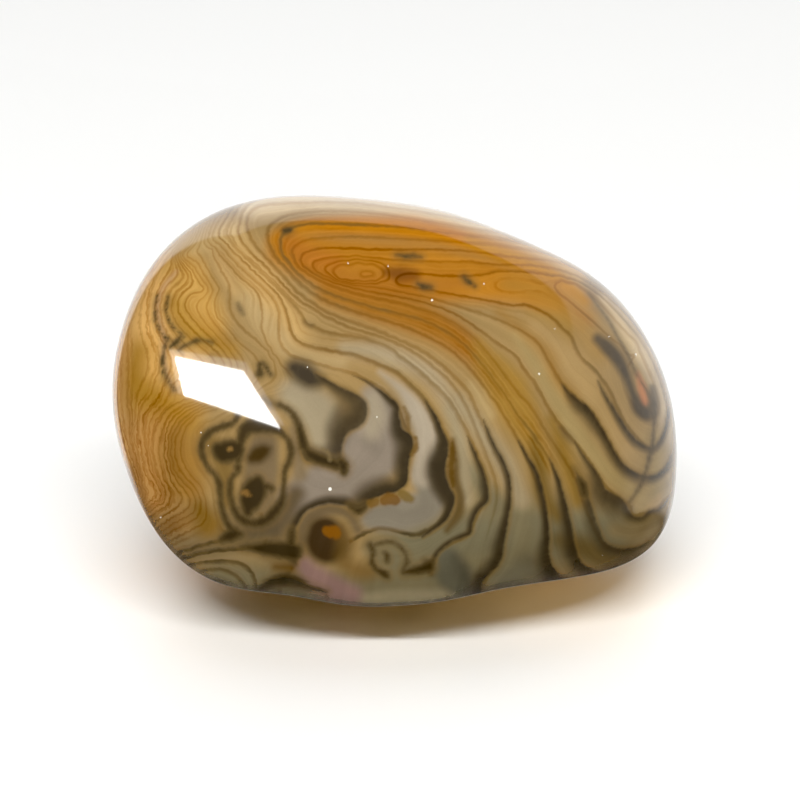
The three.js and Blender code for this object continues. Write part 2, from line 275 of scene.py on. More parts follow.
# ---- haze: soft dark clouds below the surface --------------------------------------------------------------
# Name, strength, softness, half-widths, points.
HAZE = [
    ("right eye", 0.3, 7, [7, 9, 8, 4], [(252, 457), (256, 455), (262, 452), (269, 449)]),
    ("cloud blob", 1, 8, [9, 12, 11, 7], [(295, 368), (302, 372), (310, 378), (318, 381)]),
    ("cloud body", 0.52, 8, [5, 10, 14, 13, 8], [(335, 390), (345, 400), (346, 413), (340, 427), (337, 442)]),
    ("wall body", 0.5, 7, [3, 6, 9, 9, 7], [(388, 396), (396, 410), (402, 428), (403, 448), (402, 466)]),
    ("knot body", 0.95, 6, [4, 9, 9, 7], [(442, 450), (437, 466), (440, 482), (446, 498)]),
    ("under skull", 0.5, 10, [4, 7, 5], [(238, 526), (250, 530), (266, 528)]),
    ("left eye glow", 0.5, 8, [10, 12, 10], [(222, 451), (229, 452), (236, 452)]),
    ("mouth shade", 0.5, 5, [3, 4, 3], [(263, 488), (268, 487), (272, 489)]),
    ("mouth glow", 0.4, 7, [8, 10, 8], [(249, 484), (249, 496), (247, 508)]),
    ("tail smudge", 0.7, 6, [3, 4, 3], [(263, 399), (270, 403), (278, 405)]),
    ("foot glow", 0.8, 8, [5, 9, 9, 7], [(304, 449), (316, 456), (328, 457), (338, 462)]),
    ("cavity smudge", 0.2, 9, [3, 5, 3], [(362, 440), (370, 445), (376, 450)]),
    ("corner", 0.3, 8, [5, 9, 8], [(608, 500), (616, 508), (624, 510)]),
    ("heel", 0.4, 6, [4, 5.5, 4, 2], [(602, 549), (612, 552), (624, 552), (634, 550)]),
    ("foot left", 0.4, 14, [6, 8], [(530, 560), (545, 570)]),
    ("bottom cloud", 0.45, 9, [5, 8, 8], [(456, 558), (462, 570), (472, 586)]),
    ("bottom cloud 2", 0.5, 6, [3, 4], [(478, 576), (479, 592)]),
    ("bar shade", 0.5, 8, [2, 6, 7], [(250, 548), (272, 552), (290, 554)]),
    ("heart", 0.9, 4.5, [5, 7, 7, 6, 4.5, 4.5, 6.5, 8, 5, 3], [(598, 339), (608, 348), (617, 358), (624, 370),
        (629, 383), (634, 396), (640, 409), (649, 413), (653, 402), (652, 388)]),
    ("foot soft", 0.12, 12, [6, 8, 6], [(634, 516), (648, 515), (660, 508)]),
    ("knee", 0.5, 5, [2, 4, 3], [(561, 428), (566, 434), (572, 440)]),
    ("blush", 0.2, 8, [3, 5, 3], [(388, 271), (398, 273), (412, 272)]),
    ("smudge 1", 0.8, 4, [1.5, 2, 1], [(238, 304), (240, 309), (243, 314)]),
    ("smudge 2", 0.5, 5, [1.4, 1.6], [(306, 322), (311, 325)]),
    ("cluster shade", 0.45, 5, [3, 4], [(168, 340), (178, 346)]),
    ("rust shade", 0.45, 8, [4, 6, 5], [(575, 470), (582, 486), (588, 505)]),
    ("ring link", 0.5, 5, [2, 3], [(424, 560), (432, 574)]),
]

# ---- shades: dark with one crisp edge, which they fade away from -------------------------------------------
# Name, layer, strength, how far the dark reaches, points of the crisp edge. The dark lies on the right of the
# edge, as it is followed.
SHADES = [
    ("cloud", 0, 0.72, [3, 10, 12, 16, 22, 29, 34, 38, 38, 32, 26, 20, 16], [(316, 373), (325, 378),
        (334, 383), (345, 388), (357, 394), (365, 400), (368, 409), (366, 420), (360, 427), (351, 431),
        (345, 438), (342, 448), (343, 462)]),
    ("cloud foot", 0, 0.95, [10, 14, 16, 14, 12, 12, 11, 8, 4], [(346, 468), (342, 471), (334, 469),
        (325, 466), (315, 462), (306, 461), (302, 452), (300, 441), (298, 430)]),
    ("cavity wall", 1, 0.9, [1, 3, 5, 8, 10, 12, 18, 26, 26, 22, 22, 21, 20, 26, 29, 25], [(352, 375),
        (366, 380), (379, 388), (390, 397), (399, 406), (400, 417), (403, 429), (412, 437), (414, 448),
        (410, 459), (409, 471), (407, 483), (397, 492), (384, 495), (373, 501), (364, 511)]),
    ("disc ring", 1, 0.85, [24, 16, 13, 12, 11, 11, 12, 13, 12], [(362, 513), (350, 508), (340, 505),
        (328, 504), (316, 507), (305, 513), (298, 524), (295, 537), (297, 558)]),
    ("knot", 0, 0.97, [2, 6, 8, 12, 20, 27, 29, 24, 18, 15, 9, 6, 4], [(425, 399), (434, 411), (442, 427),
        (448, 441), (449, 453), (446, 464), (446, 475), (450, 486), (455, 497), (453, 510), (446, 521),
        (436, 529), (424, 537)]),
    ("third line", 1, 0.85, [2, 6, 8, 10, 14, 13, 10, 10, 8, 7, 6, 7, 8], [(468, 436), (475, 450), (481, 463),
        (486, 476), (489, 490), (488, 502), (479, 511), (474, 522), (471, 534), (460, 539), (448, 545),
        (438, 555), (432, 569)]),
    ("fourth line", 0, 0.85, [2, 6, 8, 9, 10, 10, 11, 16, 20, 19, 17, 14], [(484, 420), (495, 443),
        (505, 461), (511, 478), (512, 496), (510, 512), (508, 526), (505, 543), (502, 560), (494, 571),
        (484, 581), (481, 593)]),
    ("fifth line", 1, 0.88, [2, 6, 8, 11, 11, 11, 14, 20, 24, 14, 3], [(518, 440), (530, 458), (539, 474),
        (545, 495), (548, 515), (550, 534), (550, 552), (553, 565), (561, 576), (573, 578), (588, 573)]),
    ("sixth line", 0, 0.85, [2, 6, 11, 14, 16, 18, 22, 18, 9, 4], [(550, 458), (559, 477), (565, 494),
        (569, 511), (573, 530), (576, 547), (581, 561), (592, 569), (604, 570), (617, 565)]),
    ("seventh line", 1, 0.62, [2, 7, 11, 14, 18, 17, 13, 12, 8, 3], [(577, 472), (586, 489), (591, 503),
        (595, 516), (600, 530), (607, 543), (617, 547), (628, 548), (640, 545), (650, 540)]),
    ("eighth line", 0, 0.68, [2, 6, 9, 12, 20, 28, 26, 16, 11, 9, 7, 3], [(575, 441), (585, 455), (594, 467),
        (601, 478), (606, 489), (615, 494), (625, 501), (632, 514), (641, 516), (650, 509), (658, 508),
        (667, 499)]),
    ("ninth line", 1, 0.78, [2, 10, 19, 20, 18, 15, 15, 15, 16, 16, 13, 8, 3], [(562, 383), (573, 394),
        (583, 402), (591, 409), (599, 421), (606, 433), (613, 446), (620, 458), (630, 468), (642, 474),
        (654, 474), (664, 467), (671, 455)]),
    ("tenth line", 0, 0.75, [2, 6, 9, 10, 11, 12, 11, 9, 7, 3], [(598, 380), (606, 394), (614, 406),
        (621, 418), (629, 430), (638, 440), (650, 446), (659, 439), (664, 426), (668, 408)]),
]

# ---- quiet places, where the layers have no lines ----------------------------------------------------------
# Name, strength, softness, half-widths, points.
QUIET = [
    ("cloud ground", 1, 6, [8, 22, 26, 12], [(280, 395), (310, 395), (325, 425), (325, 448)]),
    ("cavity", 1, 6, [10, 20, 24, 18, 12], [(372, 400), (378, 430), (365, 460), (330, 484), (296, 492)]),
    ("cavity low", 1, 6, [10, 12, 10], [(300, 480), (284, 515), (262, 534)]),
    ("pocket", 1, 5, [10, 16, 10], [(372, 518), (405, 512), (432, 495)]),
    ("grey stream", 1, 4, [3, 6, 8, 6], [(395, 388), (412, 410), (424, 432), (424, 455)]),
    ("heart ground", 1, 3, [7, 9, 8, 6], [(590, 336), (606, 351), (622, 371), (634, 396)]),
    ("heart left", 1, 3, [4, 6, 4], [(584, 336), (594, 352), (606, 372)]),
    ("face", 1, 5, [18, 18, 20], [(226, 452), (258, 450), (256, 496)]),
    ("disc ground", 1, 5, [24, 26], [(326, 545), (334, 562)]),
    ("lilac", 1, 5, [8, 12, 12], [(300, 565), (318, 578), (342, 592)]),
    ("shell", 1, 5, [12, 18, 14], [(372, 552), (390, 558), (408, 556)]),
    ("bottom", 1, 6, [8, 14, 12, 8], [(360, 590), (400, 590), (440, 585), (470, 590)]),
    ("bottom disc", 1, 5, [16, 20], [(450, 562), (460, 580)]),
    ("right grey", 1, 3, [3, 6, 9, 9], [(500, 440), (520, 478), (530, 515), (528, 565)]),
]

# ---- where the layers are lined as finely as wood grain ----------------------------------------------------
# Name, strength, softness, half-widths, points.
FINE = [
    ("left", 1, 20, [24, 34, 34, 24], [(140, 260), (135, 350), (140, 440), (170, 530)]),
    ("top left", 0.8, 14, [16, 22, 16], [(185, 270), (195, 300), (215, 335)]),
    ("diagonal", 0.7, 14, [16, 26, 22, 14], [(225, 235), (265, 285), (310, 335), (360, 352)]),
    ("orange", 1, 16, [24, 34, 32, 26, 20], [(300, 240), (360, 262), (430, 270), (500, 290), (590, 310)]),
    ("tongue", 0.9, 14, [18, 22, 24, 20], [(380, 300), (450, 330), (505, 385), (545, 450)]),
    ("top", 0.6, 12, [10, 12, 10], [(260, 212), (380, 208), (520, 245)]),
    ("cream path", 0.35, 12, [12, 12, 10], [(360, 350), (420, 375), (460, 410)]),
]

# ---- where the layers waver more or less than elsewhere ----------------------------------------------------
# Name, how much, strength, softness, half-widths, points.
WAVER = [
    ("left", 2.0, 1, 14, [18, 26, 26, 20], [(150, 290), (148, 380), (148, 450), (172, 520)]),
    ("eye", 0.3, 1, 8, [16, 25, 18], [(325, 271), (352, 270), (392, 274)]),
    ("swirl", 0.1, 1, 7, [8, 15, 10], [(570, 288), (605, 318), (640, 350)]),
]

# ---- colour of the layers, with some painted shade and painted reflection ----------------------------------
# Name, colour, strength, softness, half-widths, points. Later zones lie over earlier ones. The zones marked
# below paint shade and reflection.
GROUND_COLOUR = (150, 124, 82)
ZONES = [
    # Painted shade: the next two zones darken the lower part of the stone, where less light falls from above.
    ("low left", (124, 106, 76), 1, 22, [18, 24, 28], [(190, 540), (235, 530), (285, 530)]),
    ("low right", (116, 108, 84), 1, 24, [24, 34, 34, 30], [(400, 545), (450, 540), (530, 535), (610, 535)]),
    ("right gold", (152, 120, 68), 0.9, 14, [10, 14, 12], [(540, 312), (575, 325), (600, 350)]),
    ("left gold", (214, 169, 102), 1, 40, [60, 60, 50, 40], [(130, 280), (140, 330), (145, 360), (150, 380)]),
    ("left gold middle", (161, 120, 52), 1, 18, [12, 18, 24, 20], [(138, 352), (134, 378), (150, 402),
        (180, 420)]),
    ("left gold low", (186, 141, 83), 1, 22, [30, 30, 24], [(144, 446), (146, 474), (150, 496)]),
    ("left olive", (148, 111, 58), 1, 16, [16, 22, 20], [(178, 440), (184, 465), (186, 485)]),
    ("left olive low", (146, 114, 70), 1, 12, [12, 16], [(166, 524), (182, 519)]),
    ("left olive side", (124, 95, 48), 1, 10, [8, 14], [(200, 508), (208, 524)]),
    # Painted reflection: a pale band along the left edge, where the white surroundings mirror at the rim.
    ("left rim", (236, 184, 116), 1, 12, [7, 8, 8], [(118, 340), (112, 400), (120, 460)]),
    ("top left gold", (190, 150, 84), 1, 14, [18, 22, 20], [(180, 268), (192, 292), (204, 325)]),
    ("gold knee", (160, 122, 54), 0.8, 12, [8, 12, 8], [(175, 305), (190, 330), (230, 350)]),
    ("diagonal cream", (182, 149, 96), 1, 18, [14, 20, 16], [(232, 240), (262, 285), (290, 330)]),
    ("diagonal edge", (180, 148, 98), 0.8, 6, [4, 6, 3], [(212, 246), (222, 268), (234, 292)]),
    ("diagonal pale", (170, 146, 104), 0.8, 12, [8, 12, 8], [(248, 300), (262, 318), (285, 340)]),
    # This zone and the next are pale partly from the layers' cream and partly as painted reflection of the
    # white backdrop along the top edge.
    ("top left cream", (190, 162, 112), 0.9, 12, [10, 14, 10], [(176, 246), (205, 236), (232, 232)]),
    ("top cream", (212, 188, 148), 0.9, 10, [12, 14, 12, 8], [(250, 204), (320, 196), (400, 204),
        (500, 228)]),
    ("top right tan", (203, 160, 96), 0.8, 8, [5, 6, 6], [(440, 226), (520, 246), (580, 274)]),
    ("orange upper", (180, 118, 36), 1, 7, [6, 8, 10, 12, 10, 8, 5], [(276, 240), (286, 233), (320, 226),
        (400, 227), (450, 236), (500, 252), (545, 270)]),
    ("orange upper end", (174, 122, 34), 1, 7, [5, 9, 9, 6], [(470, 240), (520, 260), (555, 277),
        (585, 300)]),
    ("orange", (168, 114, 46), 1, 12, [20, 28, 30, 22, 12], [(288, 248), (345, 264), (420, 272), (490, 280),
        (556, 296)]),
    ("orange right", (162, 118, 56), 0.8, 12, [8, 12, 10], [(510, 284), (550, 296), (585, 316)]),
    ("orange tongue", (150, 104, 48), 1, 12, [14, 18, 18, 14, 7], [(330, 292), (390, 308), (436, 326),
        (470, 350), (490, 374)]),
    ("tongue end", (152, 118, 60), 1, 10, [5, 15, 21, 18, 12, 7], [(478, 344), (486, 360), (502, 382),
        (518, 410), (534, 440), (545, 465)]),
    ("orange core", (156, 103, 46), 0.8, 12, [8, 12, 12, 7], [(296, 262), (345, 280), (410, 285),
        (460, 284)]),
    ("orange lobe", (162, 102, 46), 0.7, 8, [9, 11, 8], [(290, 244), (310, 256), (335, 262)]),
    ("path end", (166, 144, 102), 0.7, 8, [4, 6, 4], [(472, 386), (482, 400), (490, 414)]),
    ("right cream", (166, 138, 94), 0.9, 12, [8, 12, 12, 12], [(535, 330), (570, 365), (600, 420),
        (620, 455)]),
    ("pale lens", (158, 136, 92), 0.9, 6, [3, 6, 8, 9, 8, 6], [(515, 335), (540, 372), (556, 400), (582, 440),
        (608, 472), (640, 495)]),
    ("warm right", (146, 108, 54), 0.7, 10, [3, 5, 5, 5], [(500, 312), (545, 350), (556, 376), (572, 396)]),
    ("tan right", (134, 104, 50), 0.9, 9, [4, 8, 9, 7], [(552, 420), (562, 448), (571, 476), (578, 500)]),
    ("olive right", (112, 90, 50), 0.9, 8, [3, 8, 9, 7], [(533, 440), (539, 468), (544, 496), (558, 516)]),
    ("swirl pale", (206, 180, 134), 0.8, 9, [4, 8, 9, 6], [(604, 300), (618, 318), (634, 342), (650, 362)]),
    # Painted reflection: a pale band along the right edge, where the white surroundings mirror at the rim.
    ("right rim", (202, 180, 144), 0.7, 10, [5, 8, 8, 5], [(640, 350), (656, 380), (666, 410), (668, 440)]),
    ("right end", (152, 130, 86), 0.9, 14, [8, 14, 12], [(655, 440), (658, 480), (645, 520)]),
    ("heel tan", (128, 110, 78), 0.9, 9, [8, 9, 9], [(616, 530), (640, 532), (658, 520)]),
    ("heel rim", (150, 132, 100), 0.8, 7, [3, 6, 5], [(622, 560), (643, 546), (658, 526)]),
    ("heel low", (96, 78, 46), 0.8, 10, [8, 12, 12, 8], [(560, 540), (585, 548), (610, 560), (630, 556)]),
    ("cream path", (156, 140, 111), 1, 10, [5, 9, 9, 8], [(345, 348), (385, 354), (430, 375), (455, 410)]),
    ("path start", (168, 144, 102), 0.8, 9, [4, 8, 6], [(285, 350), (310, 358), (340, 362)]),
    ("cream cavity", (152, 138, 111), 1, 10, [16, 22, 14], [(295, 395), (318, 415), (322, 438)]),
    ("lavender cavity", (132, 120, 105), 1, 8, [16, 24, 30, 30, 18, 10], [(292, 500), (325, 486), (356, 464),
        (378, 445), (384, 415), (372, 396)]),
    ("pale cavity", (151, 138, 115), 1, 10, [8, 10, 8], [(374, 398), (376, 416), (372, 430)]),
    ("lavender pocket", (124, 115, 99), 1, 7, [12, 17, 17, 13], [(372, 518), (405, 514), (430, 500),
        (426, 474)]),
    ("skull side", (120, 104, 80), 0.9, 6, [5, 7, 7], [(294, 430), (297, 455), (300, 475)]),
    ("grey stream", (160, 147, 126), 1, 6, [1, 5, 11, 13, 12], [(380, 372), (405, 394), (424, 426),
        (428, 450), (424, 475)]),
    ("skull bone", (116, 99, 74), 1, 6, [14, 18, 16], [(264, 442), (262, 462), (260, 498)]),
    ("skull cheek", (124, 100, 60), 1, 6, [8, 9, 8], [(214, 445), (224, 466), (226, 500)]),
    ("lower lavender", (94, 81, 62), 1, 8, [9, 11, 11, 7], [(296, 494), (280, 520), (266, 535), (240, 540)]),
    ("lower grey", (122, 112, 85), 1, 16, [16, 22, 24, 22, 14], [(220, 576), (330, 596), (400, 590),
        (470, 575), (520, 575)]),
    ("lower edge", (150, 138, 108), 1, 6, [5, 7, 7, 6], [(350, 601), (390, 598), (430, 597), (465, 593)]),
    ("lower stream", (110, 95, 68), 0.8, 8, [6, 8, 8], [(195, 552), (230, 545), (262, 540)]),
    ("right grey", (118, 108, 82), 1, 10, [9, 11, 12, 12], [(470, 470), (492, 500), (522, 530), (522, 560)]),
    ("right grey top", (150, 134, 104), 1, 9, [7, 9, 10, 8], [(458, 400), (480, 430), (505, 465),
        (520, 500)]),
    ("ring grey", (151, 136, 106), 1, 7, [5, 7, 7, 6], [(450, 410), (460, 440), (464, 470), (466, 500)]),
    ("right foot", (114, 107, 86), 0.9, 10, [8, 12, 8], [(500, 585), (520, 572), (540, 572)]),
    ("right eye", (70, 54, 30), 1, 5, [5, 8, 6.5, 2], [(252, 458), (256, 456), (262, 452), (269, 449)]),
    ("lilac", (140, 112, 103), 1, 8, [8, 13, 13, 10], [(304, 564), (314, 577), (332, 588), (352, 595)]),
    ("disc halo", (108, 92, 68), 1, 5, [5, 6, 6, 5], [(300, 545), (304, 522), (325, 509), (348, 514),
        (358, 530)]),
    ("disc dark", (66, 54, 41), 1, 6, [18, 20, 16], [(325, 534), (325, 543), (327, 548)]),
    ("disc warm", (94, 74, 45), 0.85, 8, [5, 9, 8], [(342, 528), (344, 542), (342, 556)]),
    ("ochre foot", (122, 96, 58), 0.85, 9, [5, 9, 8], [(346, 565), (357, 570), (367, 572)]),
    ("shell ground", (118, 109, 84), 0.9, 8, [8, 12, 10], [(372, 548), (390, 558), (402, 562)]),
    ("tan foot", (90, 64, 30), 0.8, 6, [4, 6], [(276, 567), (290, 568)]),
    ("bottom disc", (98, 94, 78), 1, 6, [12, 17, 12], [(448, 560), (453, 574), (462, 585)]),
    ("blush", (116, 71, 35), 0.85, 6, [4, 8, 6], [(387, 272), (400, 275), (414, 276)]),
    ("vein", (190, 152, 112), 0.8, 3, [2, 3, 3, 2.4], [(176, 272), (162, 290), (157, 310), (164, 336),
        (164, 356), (168, 374), (175, 390)]),
    ("salmon", (186, 124, 82), 1, 3, [2, 4.6, 4.6], [(638, 374), (642, 388), (645, 402)]),
    ("knot rim", (90, 72, 44), 0.85, 4, [2, 3, 4, 5, 5, 3], [(453, 440), (456, 460), (456, 480), (460, 498),
        (458, 514), (447, 530)]),
]

# ---- small crisp spots of another colour -------------------------------------------------------------------
# Name, colour, half-widths, points.
SPOTS = [
    ("disc core", (128, 84, 36), [4.4, 5.6, 5.6, 4], [(327, 530), (330, 532), (334, 531), (336, 535)]),
    ("left eye core", (140, 108, 62), [2.1], [(230, 449)]),
    ("mouth core", (132, 100, 56), [1.8, 2.6, 1.8], [(243, 493), (246, 493), (250, 495)]),
    ("nugget 1", (106, 76, 40), [4.4, 5.4, 4.6], [(384, 501), (389, 499), (395, 500)]),
    ("nugget 2", (110, 84, 46), [4, 3.6], [(376, 502), (371, 504)]),
    ("nugget 3", (112, 92, 52), [3.6, 4, 3], [(402, 494), (406, 497), (411, 499)]),
    ("rim 1", (86, 64, 32), [1.6, 3, 3, 1.6], [(452, 444), (452, 458), (451, 472), (453, 486)]),
    ("rim 2", (112, 90, 58), [1.4, 2.6, 1.8], [(404, 408), (407, 416), (408, 427)]),
    ("rim 3", (108, 84, 48), [1.2, 1.8, 1.2], [(416, 438), (416, 446), (412, 454)]),
    ("curl", (116, 100, 70), [1, 1.4, 1.2], [(322, 449), (328, 453), (330, 459)]),
]

# ---- polish pits -------------------------------------------------------------------------------------------
# Half-width, place.
PITS = [
    (1.2, (432, 300)), (1.0, (484, 284)), (1.0, (348, 263)), (1.0, (388, 266)), (1.3, (539, 374)),
    (1.2, (609, 336)), (1.6, (636, 355)), (1.2, (555, 329)), (1.0, (377, 417)), (1.8, (330, 489)),
    (1.0, (602, 556)), (1.1, (464, 597)), (1.0, (201, 433)), (1.3, (161, 518)), (0.9, (208, 446)),
    (0.9, (307, 367)),
]

# ---- how the drawing is worked out, in pixels --------------------------------------------------------------
LINE_STEP = 11.0  # spacing of the places where a growth line pins the layers
LINE_SLACK = 1e-4  # how far the layers may miss a drawn line, which takes the shake out of the drawing
PLATE_UNIT = 100.0  # pixels to a unit of the bent plate, which keeps its numbers near 1
STROKE_STEP = 2.0  # spacing of the discs that make up a stroke
STROKE_REACH = 60.0  # places further from a stroke than this don't feel it
SHADE_CORE = 0.15  # part of a shade's reach that stays fully dark
SHADE_DEPTH = 1.8  # makes the half-dark of a shade darker, as it looks under a clear skin
SHADE_LAYERS = 2  # neighbouring shades lie in different layers, so that each keeps its own edge
WIDTH_REACH = 7.0  # how far a line's width and darkness carry to either side
LEAST_GROWTH = 0.05  # growth orders per mm, where the layers lie nearly flat
FINE_PARTS = 3.0  # fine lines to each growth line
FINE_DARKNESS = 0.62  # strength of the fine lines where they are darkest
CHUNK = 4000  # places worked out at a time

# ---- the back, which the view doesn't show -----------------------------------------------------------------
FRONT_FADE = 3  # how soon the markings that aren't layers end behind the widest line
BACK_TURN = math.radians(150)  # how far the drawing turns from the widest line to the middle of the back
BACK_SHRINK = 0.18  # part of its size that it loses there
BACK_STIR = 26.0  # pixels that its places move
# Waves that stir the drawing, sideways and then up: share, radians per mm along x, y and z, start in radians.
BACK_WAVES = [
    [(1.0, (0.0, 0.42, 0.31), 0.0), (0.6, (0.77, 0.0, -0.4), 1.3)],
    [(1.0, (0.37, 0.0, -0.45), 2.1), (0.6, (0.7, 0.6, 0.0), 0.4)],
]


# ---- form --------------------------------------------------------------------------------------------------
def spline_at(controls, turn):
    """Value of a closed, evenly spaced cubic B-spline at turn, where one turn runs round all its controls."""
    controls = np.asarray(controls)
    count = len(controls)
    position = (turn - np.floor(turn)) * count
    start = np.floor(position).astype(int)
    t = position - start
    weights = [
        (1 - t) ** 3 / 6,
        (3 * t**3 - 6 * t**2 + 4) / 6,
        (-3 * t**3 + 3 * t**2 + 3 * t + 1) / 6,
        t**3 / 6,
    ]
    return sum(weight * controls[(start + i - 1) % count] for i, weight in enumerate(weights))


def controls_through(radii):
    """Controls whose spline passes through the given radii."""
    radii = np.array(radii)
    turns = np.arange(len(radii)) / len(radii)
    controls = radii.copy()
    for _ in range(OUTLINE_REFINEMENTS):
        controls = controls + radii - spline_at(controls, turns)
    return controls


def skin_points(directions):
    """Points of the skin in given directions, in mm, in the slanted frame of across, along and out."""
    across, along, out = directions.T
    reach = across**2 + along**2
    radius = spline_at(controls_through(OUTLINE_RADII), np.arctan2(along, across) / (2 * np.pi))
    crown = (across / CROWN_HALF_LENGTH) ** 2 + (along / CROWN_HALF_HEIGHT) ** 2
    in_plane = crown + (reach / radius**2 - crown) * reach
    in_depth = (out / np.where(out > 0, FRONT_BULGE, BACK_BULGE)) ** 2
    total = in_plane + in_depth
    scale = np.sqrt(2 / (total + np.sqrt(total**2 - 4 * SQUARENESS * in_plane * in_depth)))
    return directions * scale[:, None]


def sweep_at(across, along):
    """How far the stone bends back at a place on its widest line's plane."""
    part = across / CROWN_HALF_LENGTH
    even = (RIGHT_END_SWEEP + LEFT_END_SWEEP) / 2
    tilt = (RIGHT_END_SWEEP - LEFT_END_SWEEP) / 2
    return even * part**2 + tilt * part + TOP_SWEEP * along / CROWN_HALF_HEIGHT


def worn(height, level):
    """Heights cut off at level, with a small round where the skin meets the flat."""
    above = height - level
    rounded = (above + REST_EDGE) ** 2 / (4 * REST_EDGE)
    return level + np.where(above > REST_EDGE, above, np.where(above < -REST_EDGE, 0, rounded))


def stone_points(directions, box):
    """Points of the skin in the row frame, in metres, fitted to the CAD node's box."""
    points = skin_points(directions)
    across, along = points[:, 0], points[:, 1]
    out = points[:, 2] - sweep_at(across, along)
    forward = along * math.sin(FACE_LEAN) - out * math.cos(FACE_LEAN)
    up = along * math.cos(FACE_LEAN) + out * math.sin(FACE_LEAN)
    placed = np.stack([across, forward, worn(up, up.min() + REST_WEAR)], axis=1)
    low, high = placed.min(axis=0), placed.max(axis=0)
    box_low, box_high = (np.array(corner) for corner in box)
    return box_low + (placed - low) * (box_high - box_low) / (high - low)


def grid_quads(cells):
    """Quads of a square grid with that many cells a side, whose points run row by row."""
    corner = np.arange(cells * (cells + 1)).reshape(cells, cells + 1)[:, :cells].ravel()
    return np.stack([corner, corner + cells + 1, corner + cells + 2, corner + 1], axis=1)


def cube_sphere(cells):
    """Unit directions and quads of a cube blown up into a sphere, with its points crowded towards +Z."""
    edge = np.tan(np.linspace(-np.pi / 4, np.pi / 4, cells + 1))
    u, v = np.meshgrid(edge, edge, indexing="ij")
    one = np.ones_like(u)
    sides = [(one, u, v), (-one, v, u), (v, one, u), (u, -one, v), (u, v, one), (v, u, -one)]
    points = np.concatenate([np.stack(side, axis=-1).reshape(-1, 3) for side in sides])
    points /= np.linalg.norm(points, axis=1)[:, None]
    quads = np.concatenate([grid_quads(cells) + side * (cells + 1) ** 2 for side in range(len(sides))])
    rounded = np.round(points, SHARED_DECIMALS)
    _, first, shared = np.unique(rounded, axis=0, return_index=True, return_inverse=True)
    directions = points[first]
    tilt = np.arccos(np.clip(directions[:, 2], -1, 1))
    crowded = tilt - FRONT_CROWDING * np.sin(tilt)
    ring = np.hypot(directions[:, 0], directions[:, 1])
    ring = np.where(ring < TINY, 1, ring)
    flat = directions[:, :2] / ring[:, None] * np.sin(crowded)[:, None]
    directions = np.column_stack([flat, np.cos(crowded)])
    return directions, shared.ravel()[quads]


# ---- places in the view ------------------------------------------------------------------------------------
def view_pixels(points):
    """Where the view shows points of the row frame: x to the right and y down, in pixels."""
    ray = points - VIEW_EYE
    depth = ray @ VIEW_FORWARD
    focal = VIEW_LENS / VIEW_SENSOR * VIEW_PIXELS
    return VIEW_PIXELS / 2 + focal * np.column_stack([ray[:, 0], -(ray @ VIEW_UP)]) / depth[:, None]


def drawing_places(points, directions):
    """The place of the drawing that each point of the skin shows, and how far round the back the point is."""
    depth = eased(-directions[:, 2])
    offset = view_pixels(points) - FACE_CENTRE
    turn = BACK_TURN * depth
    turned = np.column_stack([
        offset[:, 0] * np.cos(turn) - offset[:, 1] * np.sin(turn),
        offset[:, 0] * np.sin(turn) + offset[:, 1] * np.cos(turn),
    ])
    stir = np.column_stack([
        sum(share * np.sin(points / MM @ np.array(pull) + start) for share, pull, start in waves)
        for waves in BACK_WAVES
    ])
    shrink = 1 - BACK_SHRINK * depth
    return FACE_CENTRE + turned * shrink[:, None] + BACK_STIR * depth[:, None] * stir, depth


# ---- drawing -----------------------------------------------------------------------------------------------
def curve_through(points, step):
    """A smooth curve through given points, as samples about a step apart, and how far along each is."""
    points = np.array(points, float)
    if len(points) == 1:
        return points, np.zeros(1)
    ends = np.vstack([2 * points[0] - points[1], points, 2 * points[-1] - points[-2]])
    samples = []
    for before, start, end, after in zip(ends, ends[1:], ends[2:], ends[3:]):
        count = max(1, round(np.linalg.norm(end - start) / step))
        t = (np.arange(count) / count)[:, None]
        straight = 2 * start + (end - before) * t
        bend = (2 * before - 5 * start + 4 * end - after) * t**2
        twist = (-before + 3 * start - 3 * end + after) * t**3
        samples.append((straight + bend + twist) / 2)
    samples = np.vstack([*samples, points[-1:]])
    return samples, np.linspace(0, 1, len(samples))


def along_curve(values, part):
    """Values spread evenly along a curve, at each part of its length."""
    return np.interp(part, np.linspace(0, 1, len(values)), values)


def eased(value):
    """A smooth rise from 0 to 1 as the value goes from 0 to 1."""
    value = np.clip(value, 0, 1)
    return value * value * (3 - 2 * value)


def linear(colour):
    """An sRGB colour of 0 to 255 as linear light."""
    part = np.array(colour, float) / 255
    return np.where(part <= 0.04045, part / 12.92, ((part + 0.055) / 1.055) ** 2.4)


def chunks(count):
    """Slices that cut count places into pieces small enough for memory."""
    return [slice(start, min(start + CHUNK, count)) for start in range(0, count, CHUNK)]


def plate(distance_squared):
    """How a thin plate bends round a pin."""
    return 0.5 * distance_squared * np.log(np.maximum(distance_squared, TINY))


def growth_field(places):
    """The growth order at each place, as a thin plate bent over the growth lines, and its slope per pixel."""
    lines = [(order, curve_through(points, LINE_STEP)[0]) for _, order, _, _, points in GROWTH_LINES]
    pins = np.vstack([samples for _, samples in lines]) / PLATE_UNIT
    orders = np.concatenate([np.full(len(samples), float(order)) for order, samples in lines])
    count = len(pins)
    gaps = ((pins[:, None] - pins[None]) ** 2).sum(-1)
    plane = np.column_stack([np.ones(count), pins])
    system = np.zeros((count + 3, count + 3))
    system[:count, :count] = plate(gaps) + LINE_SLACK * np.eye(count)
    system[:count, count:] = plane
    system[count:, :count] = plane.T
    weights = np.linalg.solve(system, np.concatenate([orders, np.zeros(3)]))
    bends, level, tilt = weights[:count], weights[count], weights[count + 1:]
    order = np.empty(len(places))
    slope = np.empty(len(places))
    for part in chunks(len(places)):
        spot = places[part] / PLATE_UNIT
        offset = spot[:, None] - pins[None]
        distance_squared = (offset**2).sum(-1)
        order[part] = plate(distance_squared) @ bends + level + spot @ tilt
        pull = (np.log(np.maximum(distance_squared, TINY)) + 1) * bends
        gradient = np.einsum("ij,ijk->ik", pull, offset) + tilt
        slope[part] = np.linalg.norm(gradient, axis=1) / PLATE_UNIT
    return order, slope


